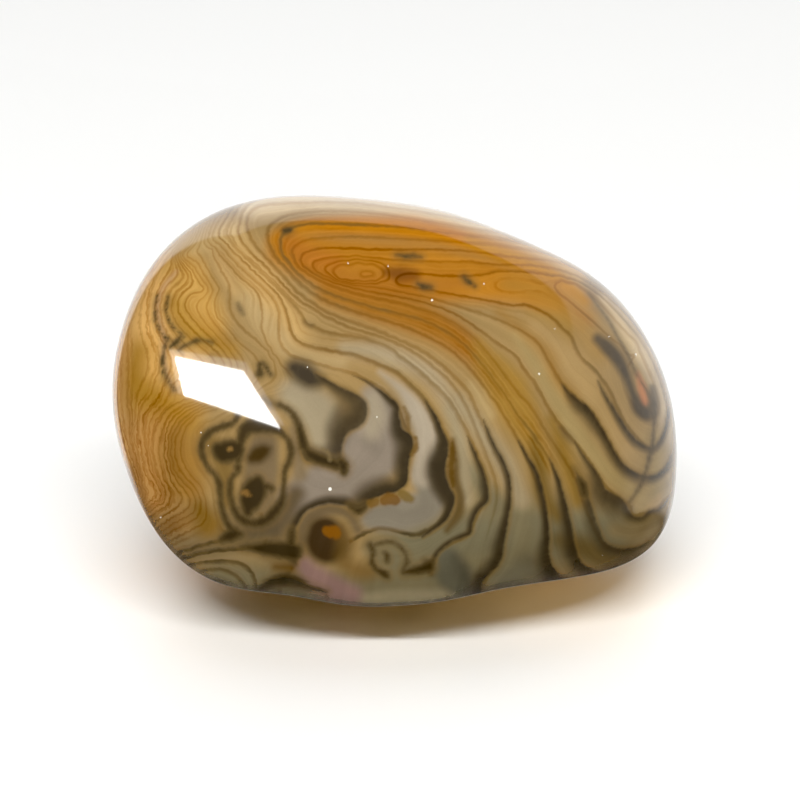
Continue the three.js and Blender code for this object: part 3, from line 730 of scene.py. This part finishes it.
def line_strength(places):
    """Half-width and darkness of the growth lines near each place."""
    spots, values = [], []
    for _, _, half_widths, darknesses, points in GROWTH_LINES:
        samples, part = curve_through(points, LINE_STEP / 2)
        spots.append(samples)
        values.append(np.column_stack([along_curve(half_widths, part), along_curve(darknesses, part)]))
    spots, values = np.vstack(spots), np.vstack(values)
    found = np.empty((len(places), 2))
    for part in chunks(len(places)):
        distance_squared = ((places[part][:, None] - spots[None]) ** 2).sum(-1)
        nearness = distance_squared - distance_squared.min(axis=1)[:, None]
        weight = np.exp(-nearness / (2 * WIDTH_REACH**2))
        found[part] = weight @ values / weight.sum(axis=1)[:, None]
    return found.T


def places_near(places, samples, reach):
    """Indices of the places within reach of the box round a curve, in chunks."""
    low = samples.min(axis=0) - reach
    high = samples.max(axis=0) + reach
    near = np.flatnonzero(((places > low) & (places < high)).all(axis=1))
    return [near[piece] for piece in chunks(len(near))]


def stroke_depth(places, half_widths, points):
    """How deep each place lies inside a stroke, in pixels. It is negative outside."""
    samples, part = curve_through(points, STROKE_STEP)
    widths = along_curve(half_widths, part)
    depth = np.full(len(places), -STROKE_REACH)
    for near in places_near(places, samples, STROKE_REACH):
        distance = np.sqrt(((places[near][:, None] - samples[None]) ** 2).sum(-1))
        depth[near] = np.maximum(-STROKE_REACH, (widths - distance).max(axis=1))
    return depth


def deepest(places, strokes):
    """How deep each place lies inside the strokes of (half-widths, points), in mm. It is negative outside."""
    depths = [stroke_depth(places, half_widths, points) for half_widths, points in strokes]
    return np.maximum.reduce(depths) / PIXELS_PER_MM


def painted(places, base, strokes):
    """A value at each place: the base, with soft strokes that have their own values laid over it in turn."""
    values = np.tile(base, (len(places), 1)).astype(float)
    for _, value, strength, softness, half_widths, points in strokes:
        inside = strength * eased(0.5 + stroke_depth(places, half_widths, points) / (2 * softness))
        values += inside[:, None] * (value - values)
    return values


def cover(places, strokes):
    """How far each place is covered by soft strokes, from 0 to 1."""
    return painted(places, 0, [(name, 1, *stroke) for name, *stroke in strokes])[:, 0]


def shade_layer(places, layer):
    """Darkness that fades away from a layer's crisp edges, and how far inside its edge a place is, in mm."""
    shade = np.zeros(len(places))
    inside = np.full(len(places), -1.0)
    for _, own_layer, strength, reaches, points in SHADES:
        if own_layer != layer:
            continue
        samples, part = curve_through(points, STROKE_STEP)
        reach = along_curve(reaches, part)
        tangent = np.gradient(samples, axis=0)
        tangent /= np.linalg.norm(tangent, axis=1)[:, None]
        for near in places_near(places, samples, reach.max()):
            offset = places[near][:, None] - samples[None]
            distance = np.sqrt((offset**2).sum(-1))
            nearest = distance.argmin(axis=1)
            away = offset[np.arange(len(near)), nearest]
            side = away[:, 1] * tangent[nearest, 0] - away[:, 0] * tangent[nearest, 1]
            faded = eased((distance / reach - SHADE_CORE) / (1 - SHADE_CORE))
            dark = strength * (1 - faded).max(axis=1)
            darker = dark > shade[near]
            inside[near] = np.where(darker, side, inside[near])
            shade[near] = np.maximum(dark, shade[near])
    return 1 - (1 - shade) ** SHADE_DEPTH, np.clip(inside / PIXELS_PER_MM, -1, 1)


# ---- mesh --------------------------------------------------------------------------------------------------
def face_map(directions, quads):
    """UV of each quad corner: the front as one large island, the back as a smaller one below it."""
    around = np.arctan2(directions[:, 1], directions[:, 0])[quads]
    tilt = (np.arccos(np.clip(directions[:, 2], -1, 1)) / (np.pi / 2))[quads]
    is_front = (directions[quads, 2].mean(axis=1) > 0)[:, None]
    spread = np.where(is_front, tilt, 2 - tilt)
    unit = np.stack([spread * np.cos(around), spread * np.sin(around)], axis=-1)
    front, back = (np.array(middle) + np.array(half) * unit for middle, half in (FRONT_ISLAND, BACK_ISLAND))
    return np.where(is_front[:, None], front, back).reshape(-1, 2)


def skin_numbers(places, depth):
    """What each point of the skin tells the material, by attribute name."""
    hidden = eased(depth * FRONT_FADE)
    front = 1 - hidden
    lined = 1 - cover(places, QUIET) * front
    order, slope = growth_field(places)
    half_width, darkness = line_strength(places)
    numbers = {
        "growth": order,
        "growth_per_mm": np.maximum(slope * PIXELS_PER_MM, LEAST_GROWTH),
        "line_mm": half_width / PIXELS_PER_MM,
        "line_dark": darkness * lined,
        "fine": np.maximum(cover(places, FINE), hidden) * lined,
        "waver": painted(places, 1, WAVER)[:, 0],
        "haze": cover(places, HAZE) * front,
        "ink_mm": deepest(places, [stroke[1:] for stroke in INK]) - hidden,
        "spot_mm": deepest(places, [stroke[2:] for stroke in SPOTS]) - hidden,
        "pit_mm": deepest(places, [([width], [place]) for width, place in PITS]) - hidden,
    }
    for layer in range(SHADE_LAYERS):
        shade, inside = shade_layer(places, layer)
        numbers["shade_%d" % layer] = shade * front
        numbers["shade_mm_%d" % layer] = inside
    return numbers


def skin_colours(places):
    """The colours of the layers, partly painted shade and reflection, and of the nearest spot at each point
    of the skin, by attribute name.
    """
    zones = [(name, linear(colour), *stroke) for name, colour, *stroke in ZONES]
    nearest = np.argmax([stroke_depth(places, *stroke) for _, _, *stroke in SPOTS], axis=0)
    return {
        "ground": painted(places, linear(GROUND_COLOUR), zones),
        "spot_colour": linear([colour for _, colour, *_ in SPOTS])[nearest],
    }


def add_object(name, data):
    """A new object in the scene."""
    thing = bpy.data.objects.new(name, data)
    bpy.context.scene.collection.objects.link(thing)
    return thing


def make_stone(box):
    """The polished skin, with its map and with all that the material reads."""
    directions, quads = cube_sphere(GRID)
    points = stone_points(directions, box)
    mesh = bpy.data.meshes.new("agate_skin")
    mesh.from_pydata(points.tolist(), [], quads.tolist())
    mesh.polygons.foreach_set("use_smooth", np.ones(len(quads), bool))
    face_uv = face_map(directions, quads).astype(np.float32)
    mesh.uv_layers.new(name="OFBake").data.foreach_set("uv", face_uv.ravel())
    places, depth = drawing_places(points, directions)
    for name, values in skin_numbers(places, depth).items():
        attribute = mesh.attributes.new(name, "FLOAT", "POINT")
        attribute.data.foreach_set("value", values.astype(np.float32))
    for name, colours in skin_colours(places).items():
        attribute = mesh.attributes.new(name, "FLOAT_COLOR", "POINT")
        rgba = np.column_stack([colours, np.ones(len(colours))]).astype(np.float32)
        attribute.data.foreach_set("color", rgba.ravel())
    return add_object("agate_skin", mesh)


# ---- material ----------------------------------------------------------------------------------------------
# Noises: scale per mm or per growth order, detail, and how far the noise swings what it changes.
WAVER_COARSE = (1.1, 2.0, 0.20)
WAVER_FINE = (2.4, 2.5, 0.17)
LAYER_BANDS = (2.6, 4.0, 0.34)
LAYER_BAND_ROUGHNESS = 0.65
CLOUDS = (0.35, 3.0, 0.22)
GRAIN = (9.0, 2.0, 0.10)
LINE_PATCHES = (0.8, 2.0, 0.7)
LINE_TO_LINE = (4.81, 2.0, 0.5)
FINE_LINE_NOISE = (2.07, 2.0)  # this and the next have no swing, as a ramp follows them
FINE_PATCH_NOISE = (0.45, 3.0)
# Ramps: where a smooth change starts and where it ends, first of darkness or noise, which go from 0 to 1.
LINE_SHOWS = (0.02, 0.15)
LINE_BROWNS = (0.35, 0.65)
LINE_BLACKENS = (0.6, 1.0)
FINE_LINE_TO_LINE = (0.36, 0.66)
FINE_PATCHES = (0.3, 0.6)
# The other ramps, in mm.
LINE_EDGE = (-0.09, 0.07)  # round the line's outer side
RIM_SHOWS = (0.08, 0.2)  # as the line's half-width grows
FINE_EDGE = (0.02, 0.16)
SHADE_EDGE = (-0.13, 0.15)
SHADE_RIM_OUTSIDE = (-0.3, -0.05)
SHADE_RIM_INSIDE = (-0.05, 0.12)
INK_EDGE = (-0.22, 0.14)
INK_RIM_EDGE = (-0.5, -0.1)
INK_CORE_EDGE = (0.0, 0.35)
SPOT_EDGE = (-0.18, 0.12)
PIT_EDGE = (-0.03, 0.03)
# Sizes and strengths.
RIM_WIDTH = 0.22  # mm of warm rim outside a growth line
LINE_FADE = (2.0, 0.08)  # the inner side fades over this many half-widths and mm more
LINE_OPACITY = (0.75, 0.2)  # gained by full darkness, and at least
RIM_OPACITY = (0.1, 0.5)  # of the narrowest and of the widest lines' rims
SHADE_RIM_OPACITY = 0.4
INK_RIM_OPACITY = 0.3
INK_OPACITY = 0.95
SPOT_OPACITY = 0.85
FINE_FAINTEST = 0.25  # strength of the fine lines where they are patchy
EDGE_WAVER = 0.8  # how much the waver changes the strength of hazes and shades
SHADE_WAVER = 0.7  # how far the waver moves the edges of shades
SPOT_WAVER = 1.3  # and of spots
PIT_DEPTH = 0.05 * MM  # of the hollow that the polish seems to have
PIT_STRENGTH = 0.5
POLISH = {"Roughness": 0.06, "IOR": 1.54, "Specular IOR Level": 0.2}
# Colours. A tint is multiplied with the layers' own colour.
FINE_TINT = (196, 168, 124)
FAINT_TINT = (192, 166, 122)
LINE_BROWN = (96, 77, 46)
LINE_BLACK = (66, 58, 43)
LINE_RIM = (128, 96, 50)
HAZE_COLOUR = (68, 61, 51)
SHADE_RIM = (124, 98, 56)
SHADE_THIN = (90, 76, 55)
SHADE_DEEP = (63, 56, 45)
INK_RIM = (118, 94, 56)
INK_THIN = (86, 72, 49)
INK_DEEP = (59, 51, 39)
PIT_PALE = (245, 240, 225)


class Nodes:
    """Short calls that add shader nodes to a tree and link them."""

    def __init__(self, tree):
        self.tree = tree
        tree.nodes.clear()

    def add(self, kind, **settings):
        node = self.tree.nodes.new(kind)
        for name, value in settings.items():
            setattr(node, name, value)
        return node

    def put(self, socket, value):
        """Link the socket to another one, or set it to a value."""
        if isinstance(value, bpy.types.NodeSocket):
            self.tree.links.new(value, socket)
        else:
            socket.default_value = value

    def math(self, operation, *values):
        node = self.add("ShaderNodeMath", operation=operation)
        for socket, value in zip(node.inputs, values):
            self.put(socket, value)
        return node.outputs[0]

    def times(self, *factors):
        return functools.reduce(functools.partial(self.math, "MULTIPLY"), factors)

    def plus(self, first, second):
        return self.math("ADD", first, second)

    def minus(self, first, second):
        return self.math("SUBTRACT", first, second)

    def scaled(self, value, factor, added):
        """value * factor + added"""
        return self.math("MULTIPLY_ADD", value, factor, added)

    def swing(self, noise, reach, middle=1.0):
        """Noise from 0 to 1 as a swing of that reach about the middle."""
        return self.scaled(self.minus(noise, 0.5), reach, middle)

    def step(self, value, low, high, to_low=0.0, to_high=1.0):
        """A smooth change from to_low to to_high as the value goes from low to high."""
        node = self.add("ShaderNodeMapRange", interpolation_type="SMOOTHSTEP")
        for socket, given in zip(node.inputs, (value, low, high, to_low, to_high)):
            self.put(socket, given)
        return node.outputs[0]

    def mix(self, part, first, second, blend="MIX"):
        node = self.add("ShaderNodeMix", data_type="RGBA", blend_type=blend)
        self.put(node.inputs["Factor"], part)
        self.put(node.inputs["A"], first)
        self.put(node.inputs["B"], second)
        return node.outputs["Result"]

    def tinted(self, colour, tint):
        """The colour multiplied by a tint."""
        return self.mix(1.0, colour, rgb(tint), blend="MULTIPLY")

    def vector_scaled(self, vector, factor):
        node = self.add("ShaderNodeVectorMath", operation="SCALE")
        self.put(node.inputs[0], vector)
        self.put(node.inputs["Scale"], factor)
        return node.outputs[0]

    def noise(self, place, scale, detail):
        """Cloudy noise at a place in the stone, in mm."""
        node = self.add("ShaderNodeTexNoise", noise_dimensions="3D")
        self.put(node.inputs["Vector"], place)
        self.put(node.inputs["Scale"], scale)
        self.put(node.inputs["Detail"], detail)
        return node.outputs[0]

    def cloudy(self, place, noise, middle=1.0):
        """A value that swings about the middle from place to place."""
        scale, detail, reach = noise
        return self.swing(self.noise(place, scale, detail), reach, middle)

    def noise_along(self, order, scale, detail, roughness=0.5):
        """Noise that depends on the growth order alone, so it is the same all along a layer."""
        node = self.add("ShaderNodeTexNoise", noise_dimensions="1D")
        self.put(node.inputs["W"], order)
        self.put(node.inputs["Scale"], scale)
        self.put(node.inputs["Detail"], detail)
        self.put(node.inputs["Roughness"], roughness)
        return node.outputs[0]

    def number(self, name):
        """A number that the mesh holds at each point."""
        return self.add("ShaderNodeAttribute", attribute_name=name).outputs["Fac"]

    def colour(self, name):
        """A colour that the mesh holds at each point."""
        return self.add("ShaderNodeAttribute", attribute_name=name).outputs["Color"]


def rgb(colour):
    """An sRGB colour of 0 to 255 as the value of a shader's colour socket."""
    return (*linear(colour), 1.0)


def new_material(name, shader_kind):
    """A material of one shader, with its nodes and that shader."""
    material = bpy.data.materials.new(name)
    material.use_nodes = True
    n = Nodes(material.node_tree)
    shader = n.add(shader_kind)
    output = n.add("ShaderNodeOutputMaterial")
    n.put(output.inputs["Surface"], shader.outputs[0])
    return material, n, shader


def layer_ground(n, place, order):
    """The layers' colour, in places painted shade and reflection, with quiet banding that follows the layers
    and cloudy changes of tone.
    """
    scale, detail, reach = LAYER_BANDS
    bands = n.swing(n.noise_along(order, scale, detail, LAYER_BAND_ROUGHNESS), reach)
    tone = n.times(bands, n.cloudy(place, CLOUDS), n.cloudy(place, GRAIN))
    return n.vector_scaled(n.colour("ground"), tone)


def with_fine_lines(n, ground, place, order, slope):
    """Thin, faint lines between the growth lines, stronger in one layer and place than in another."""
    nearest = n.math("ROUND", order)
    distance = n.math("DIVIDE", n.math("ABSOLUTE", n.minus(order, nearest)), slope)
    fine = n.times(
        n.step(distance, *FINE_EDGE, 1.0, 0.0),
        n.step(n.noise_along(nearest, *FINE_LINE_NOISE), *FINE_LINE_TO_LINE),
        n.step(n.noise(place, *FINE_PATCH_NOISE), *FINE_PATCHES, FINE_FAINTEST, 1.0),
        n.number("fine"),
        FINE_DARKNESS,
    )
    return n.mix(fine, ground, n.tinted(ground, FINE_TINT))


def with_growth_lines(n, ground, place, order, slope):
    """Growth lines: crisp on the outer side, with a warm rim there if dark, and fading on the inner side."""
    nearest = n.math("ROUND", order)
    past = n.math("DIVIDE", n.minus(order, nearest), slope)  # in mm, and negative outside the line
    half_width = n.number("line_mm")
    outer = n.times(half_width, -1.0)
    edge_start, edge_end = LINE_EDGE
    crisp = n.step(past, n.plus(outer, edge_start), n.plus(outer, edge_end))
    fade = n.step(past, 0.0, n.scaled(half_width, *LINE_FADE), 1.0, 0.0)
    scale, detail, reach = LINE_TO_LINE
    own_tone = n.swing(n.noise_along(nearest, scale, detail), reach)
    drawn = n.number("line_dark")
    dark = n.math("MINIMUM", n.times(drawn, n.cloudy(place, LINE_PATCHES), own_tone), 1.0)
    line = n.times(crisp, fade, n.scaled(dark, *LINE_OPACITY), n.step(drawn, *LINE_SHOWS))
    beside = n.times(n.step(past, n.minus(outer, RIM_WIDTH), outer), n.minus(1.0, crisp))
    rim = n.times(beside, dark, n.step(half_width, *RIM_SHOWS, *RIM_OPACITY))
    colour = n.mix(n.step(dark, *LINE_BROWNS), n.tinted(ground, FAINT_TINT), rgb(LINE_BROWN))
    colour = n.mix(n.step(dark, *LINE_BLACKENS), colour, rgb(LINE_BLACK))
    return n.mix(line, n.mix(rim, ground, rgb(LINE_RIM)), colour)


def with_shades(n, colour, waver):
    """Dark clouds below the skin: soft hazes, then shades with one crisp edge and a warm rim outside it."""
    stirred = n.scaled(waver, EDGE_WAVER, 1.0)
    haze = n.math("MINIMUM", n.times(n.number("haze"), stirred), 1.0)
    colour = n.mix(haze, colour, rgb(HAZE_COLOUR))
    for layer in range(SHADE_LAYERS):
        inside = n.scaled(waver, SHADE_WAVER, n.number("shade_mm_%d" % layer))
        shade = n.number("shade_%d" % layer)
        rim_inside = n.step(inside, *SHADE_RIM_INSIDE, SHADE_RIM_OPACITY, 0.0)
        rim = n.times(shade, n.step(inside, *SHADE_RIM_OUTSIDE), rim_inside)
        colour = n.mix(rim, colour, rgb(SHADE_RIM))
        shade = n.math("MINIMUM", n.times(shade, n.step(inside, *SHADE_EDGE), stirred), 1.0)
        colour = n.mix(shade, colour, n.mix(shade, rgb(SHADE_THIN), rgb(SHADE_DEEP)))
    return colour


def with_ink(n, colour, waver):
    """Dendritic growths close below the skin, darkest in the middle, with a thin warm rim."""
    edge = n.plus(n.number("ink_mm"), waver)
    ink = n.step(edge, *INK_EDGE)
    rim = n.times(n.step(edge, *INK_RIM_EDGE), n.minus(1.0, ink), INK_RIM_OPACITY)
    colour = n.mix(rim, colour, rgb(INK_RIM))
    dark = n.mix(n.step(edge, *INK_CORE_EDGE), rgb(INK_THIN), rgb(INK_DEEP))
    return n.mix(n.times(ink, INK_OPACITY), colour, dark)


def agate_material():
    """Layers and markings under a mirror polish. The mesh's attributes say where they lie."""
    material, n, shader = new_material("polished_agate", "ShaderNodeBsdfPrincipled")
    place = n.vector_scaled(n.add("ShaderNodeTexCoord").outputs["Object"], 1 / MM)
    slope = n.number("growth_per_mm")

    # The layers waver by a few hundredths of a millimetre, coarsely and finely.
    waver_coarse = n.times(n.cloudy(place, WAVER_COARSE, 0.0), n.number("waver"))
    waver_fine = n.times(n.cloudy(place, WAVER_FINE, 0.0), n.number("waver"))
    waver = n.plus(waver_coarse, waver_fine)
    order = n.scaled(waver_fine, slope, n.number("growth"))
    fine_order = n.times(n.scaled(waver_coarse, slope, order), FINE_PARTS)

    colour = layer_ground(n, place, order)
    colour = with_fine_lines(n, colour, place, fine_order, n.times(slope, FINE_PARTS))
    colour = with_growth_lines(n, colour, place, order, slope)
    colour = with_shades(n, colour, waver)
    colour = with_ink(n, colour, waver)
    spot = n.step(n.scaled(waver, SPOT_WAVER, n.number("spot_mm")), *SPOT_EDGE)
    colour = n.mix(n.times(spot, SPOT_OPACITY), colour, n.colour("spot_colour"))
    pit = n.step(n.number("pit_mm"), *PIT_EDGE)
    colour = n.mix(pit, colour, rgb(PIT_PALE))

    bump = n.add("ShaderNodeBump")
    n.put(bump.inputs["Strength"], PIT_STRENGTH)
    n.put(bump.inputs["Distance"], PIT_DEPTH)
    n.put(bump.inputs["Height"], n.times(pit, -1.0))
    n.put(shader.inputs["Base Color"], colour)
    n.put(shader.inputs["Normal"], bump.outputs[0])
    for name, value in POLISH.items():
        n.put(shader.inputs[name], value)
    return material


# ---- studio ------------------------------------------------------------------------------------------------
# Sizes and distances are in metres here, and powers in watts.
# The softbox and its dimmer frame: name, distance, strength, and where the view shows their corners mirrored.
SOFTBOXES = [
    ("softbox", 0.35, 90.0, [(175, 357), (243, 371), (280, 428), (184, 395)]),
    ("softbox_frame", 0.37, 6.0, [(169, 349), (246, 362), (285, 426), (178, 393)]),
]
SOFTBOX_CELLS = 12
SKIN_NEIGHBOURS = 8  # points of the skin that a reflection is worked out from
SKIN_NEARNESS = 2.0  # pixels over which their weight falls off
FLOOR_HALF_SIZE = 3.0
FLOOR_COLOUR = (245, 245, 243)
FLOOR_ROUGHNESS = 0.35
# The backdrop's edges, each with half the width it softens over: top and foot as the sine of their height,
# and the left edge as x over y. The front edge is where y starts and ends its rise.
BACKDROP_TOP = (0.53, 0.02)
BACKDROP_FOOT = (-0.43, 0.04)
BACKDROP_LEFT = (-0.49, 0.03)
BACKDROP_FRONT = (0.0, 0.3)
LEAST_Y = 0.01  # keeps x over y finite
BACKDROP_LIGHT = 1.2
ROOM_LIGHT = 0.07
BLACK_LEVEL = 0.02
STONE_MIDDLE = Vector((0, 0, 0.012))  # where the lamps point
# Lamps: name, bearing from the front to the right and height in degrees, distance, length, depth, power.
LAMPS = [
    ("key", 0, 53, 0.80, 0.80, 0.06, 7.5),
    ("overhead", 180, 76, 0.80, 0.70, 0.70, 2.7),
]
# Light that has come through the stone: name, place, length, depth, power, colour.
GLOWS = [
    ("warm_glow", (0.0010, -0.0060, 0.0080), 0.032, 0.008, 0.00045, (240, 175, 100)),
    ("warm_glow_right", (0.0125, -0.0045, 0.0080), 0.007, 0.005, 0.00045, (240, 200, 140)),
    ("warm_glow_left", (-0.0092, -0.0060, 0.0080), 0.009, 0.005, 0.0004, (240, 195, 135)),
]


def make_floor():
    """A white floor. It isn't mirrored in the stone, as the photo's stone shows no bright floor."""
    size = FLOOR_HALF_SIZE
    corners = [(-size, -size, 0), (size, -size, 0), (size, size, 0), (-size, size, 0)]
    mesh = bpy.data.meshes.new("floor")
    mesh.from_pydata(corners, [], [(0, 1, 2, 3)])
    material, n, shader = new_material("white_floor", "ShaderNodeBsdfPrincipled")
    n.put(shader.inputs["Base Color"], rgb(FLOOR_COLOUR))
    n.put(shader.inputs["Roughness"], FLOOR_ROUGHNESS)
    mesh.materials.append(material)
    floor = add_object("floor", mesh)
    floor.visible_glossy = False


def seen_skin(stone):
    """Points and normals of the skin that face the view."""
    found = []
    for source, field in ((stone.data.vertices, "co"), (stone.data.vertex_normals, "vector")):
        values = np.empty(len(source) * 3, np.float32)
        source.foreach_get(field, values)
        found.append(values.reshape(-1, 3).astype(float))
    points, normals = found
    seen = normals @ VIEW_FORWARD < 0
    return points[seen], normals[seen]


def mirrored(pixels, points, normals, place, reach):
    """The point that far from the skin that the view sees mirrored at a place."""
    distance_squared = ((pixels - place) ** 2).sum(axis=1)
    closest = np.argsort(distance_squared)[:SKIN_NEIGHBOURS]
    weight = np.exp(-distance_squared[closest] / (2 * SKIN_NEARNESS**2))[:, None]
    point = (points[closest] * weight).sum(axis=0) / weight.sum()
    normal = (normals[closest] * weight).sum(axis=0)
    normal /= np.linalg.norm(normal)
    ray = point - VIEW_EYE
    ray /= np.linalg.norm(ray)
    return tuple(point + (ray - 2 * (ray @ normal) * normal) * reach)


def make_softboxes(stone):
    """Bright cards bent so that their reflections have the given corners. Only reflections see them."""
    points, normals = seen_skin(stone)
    pixels = view_pixels(points)
    steps = np.linspace(0, 1, SOFTBOX_CELLS + 1)
    across, down = (part.ravel()[:, None] for part in np.meshgrid(steps, steps))
    for name, reach, strength, corners in SOFTBOXES:
        top_left, top_right, low_right, low_left = np.array(corners, float)
        top = top_left + (top_right - top_left) * across
        low = low_left + (low_right - low_left) * across
        card_points = [mirrored(pixels, points, normals, place, reach) for place in top + (low - top) * down]
        mesh = bpy.data.meshes.new(name)
        mesh.from_pydata(card_points, [], grid_quads(SOFTBOX_CELLS).tolist())
        material, n, shader = new_material(name, "ShaderNodeEmission")
        n.put(shader.inputs["Strength"], strength)
        mesh.materials.append(material)
        card = add_object(name, mesh)
        card.visible_camera = False
        card.visible_diffuse = False
        card.visible_shadow = False


def make_world():
    """White to the camera. To the stone it is a dim room with a white backdrop behind it."""
    world = bpy.data.worlds.new("studio")
    bpy.context.scene.world = world
    world.use_nodes = True
    n = Nodes(world.node_tree)
    split = n.add("ShaderNodeSeparateXYZ")
    n.put(split.inputs[0], n.add("ShaderNodeTexCoord").outputs["Generated"])
    x, y, z = split.outputs
    sideways = n.math("DIVIDE", x, n.math("MAXIMUM", y, LEAST_Y))
    top, top_edge = BACKDROP_TOP
    foot, foot_edge = BACKDROP_FOOT
    left, left_edge = BACKDROP_LEFT
    lit = n.times(
        n.step(z, top + top_edge, top - top_edge),
        n.step(y, *BACKDROP_FRONT),
        n.step(sideways, left - left_edge, left + left_edge),
        n.step(z, foot - foot_edge, foot + foot_edge),
    )
    light = n.scaled(lit, BACKDROP_LIGHT - ROOM_LIGHT, ROOM_LIGHT)
    seen = n.add("ShaderNodeLightPath").outputs["Is Camera Ray"]
    background = n.add("ShaderNodeBackground")
    n.put(background.inputs["Strength"], n.math("MAXIMUM", light, seen))
    output = n.add("ShaderNodeOutputWorld")
    n.put(output.inputs["Surface"], background.outputs[0])


def add_lamp(name, shape, length, depth, power):
    """An area lamp that reflections don't show."""
    data = bpy.data.lights.new(name, "AREA")
    data.shape = shape
    data.size = length
    data.size_y = depth
    data.energy = power
    lamp = add_object(name, data)
    lamp.visible_glossy = False
    return lamp


def make_lamps():
    """The studio's lamps, then warm, shadowless lamps inside the stone that light the floor round it."""
    for name, bearing, height, distance, length, depth, power in LAMPS:
        lamp = add_lamp(name, "RECTANGLE", length, depth, power)
        bearing, height = math.radians(bearing), math.radians(height)
        level = math.cos(height)
        outward = Vector((math.sin(bearing) * level, -math.cos(bearing) * level, math.sin(height)))
        lamp.location = outward * distance + STONE_MIDDLE
        lamp.rotation_euler = outward.to_track_quat("Z", "Y").to_euler()
    for name, place, length, depth, power, colour in GLOWS:
        lamp = add_lamp(name, "ELLIPSE", length, depth, power)
        lamp.data.color = linear(colour)
        lamp.data.use_shadow = False
        lamp.location = place
        lamp.visible_camera = False


def make_camera():
    """The photograph's camera."""
    data = bpy.data.cameras.new("camera")
    data.lens = VIEW_LENS
    data.sensor_width = VIEW_SENSOR
    data.clip_start = VIEW_NEAREST
    data.clip_end = VIEW_FARTHEST
    camera = add_object("camera", data)
    camera.location = VIEW_EYE
    camera.rotation_euler = (math.pi / 2 - VIEW_ELEVATION, 0, 0)
    bpy.context.scene.camera = camera


def set_contrast():
    """A photograph's contrast: the faintest light is cut away, the rest stays as it is."""
    view = bpy.context.scene.view_settings
    view.view_transform = "Standard"
    view.use_curve_mapping = True
    view.curve_mapping.black_level = (BLACK_LEVEL, BLACK_LEVEL, BLACK_LEVEL)
    view.curve_mapping.update()


# ---- the scene ---------------------------------------------------------------------------------------------
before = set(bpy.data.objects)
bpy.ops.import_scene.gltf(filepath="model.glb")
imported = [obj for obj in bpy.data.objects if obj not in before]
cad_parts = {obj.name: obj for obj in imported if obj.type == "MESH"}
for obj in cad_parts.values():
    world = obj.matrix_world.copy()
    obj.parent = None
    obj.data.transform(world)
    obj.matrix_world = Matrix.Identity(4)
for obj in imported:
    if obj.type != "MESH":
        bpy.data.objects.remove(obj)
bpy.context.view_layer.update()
make_camera()
stone = make_stone(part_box("agate"))
stone.data.materials.append(agate_material())
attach(stone, "root")
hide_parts("agate")
make_floor()
make_softboxes(stone)
make_world()
make_lamps()
set_contrast()
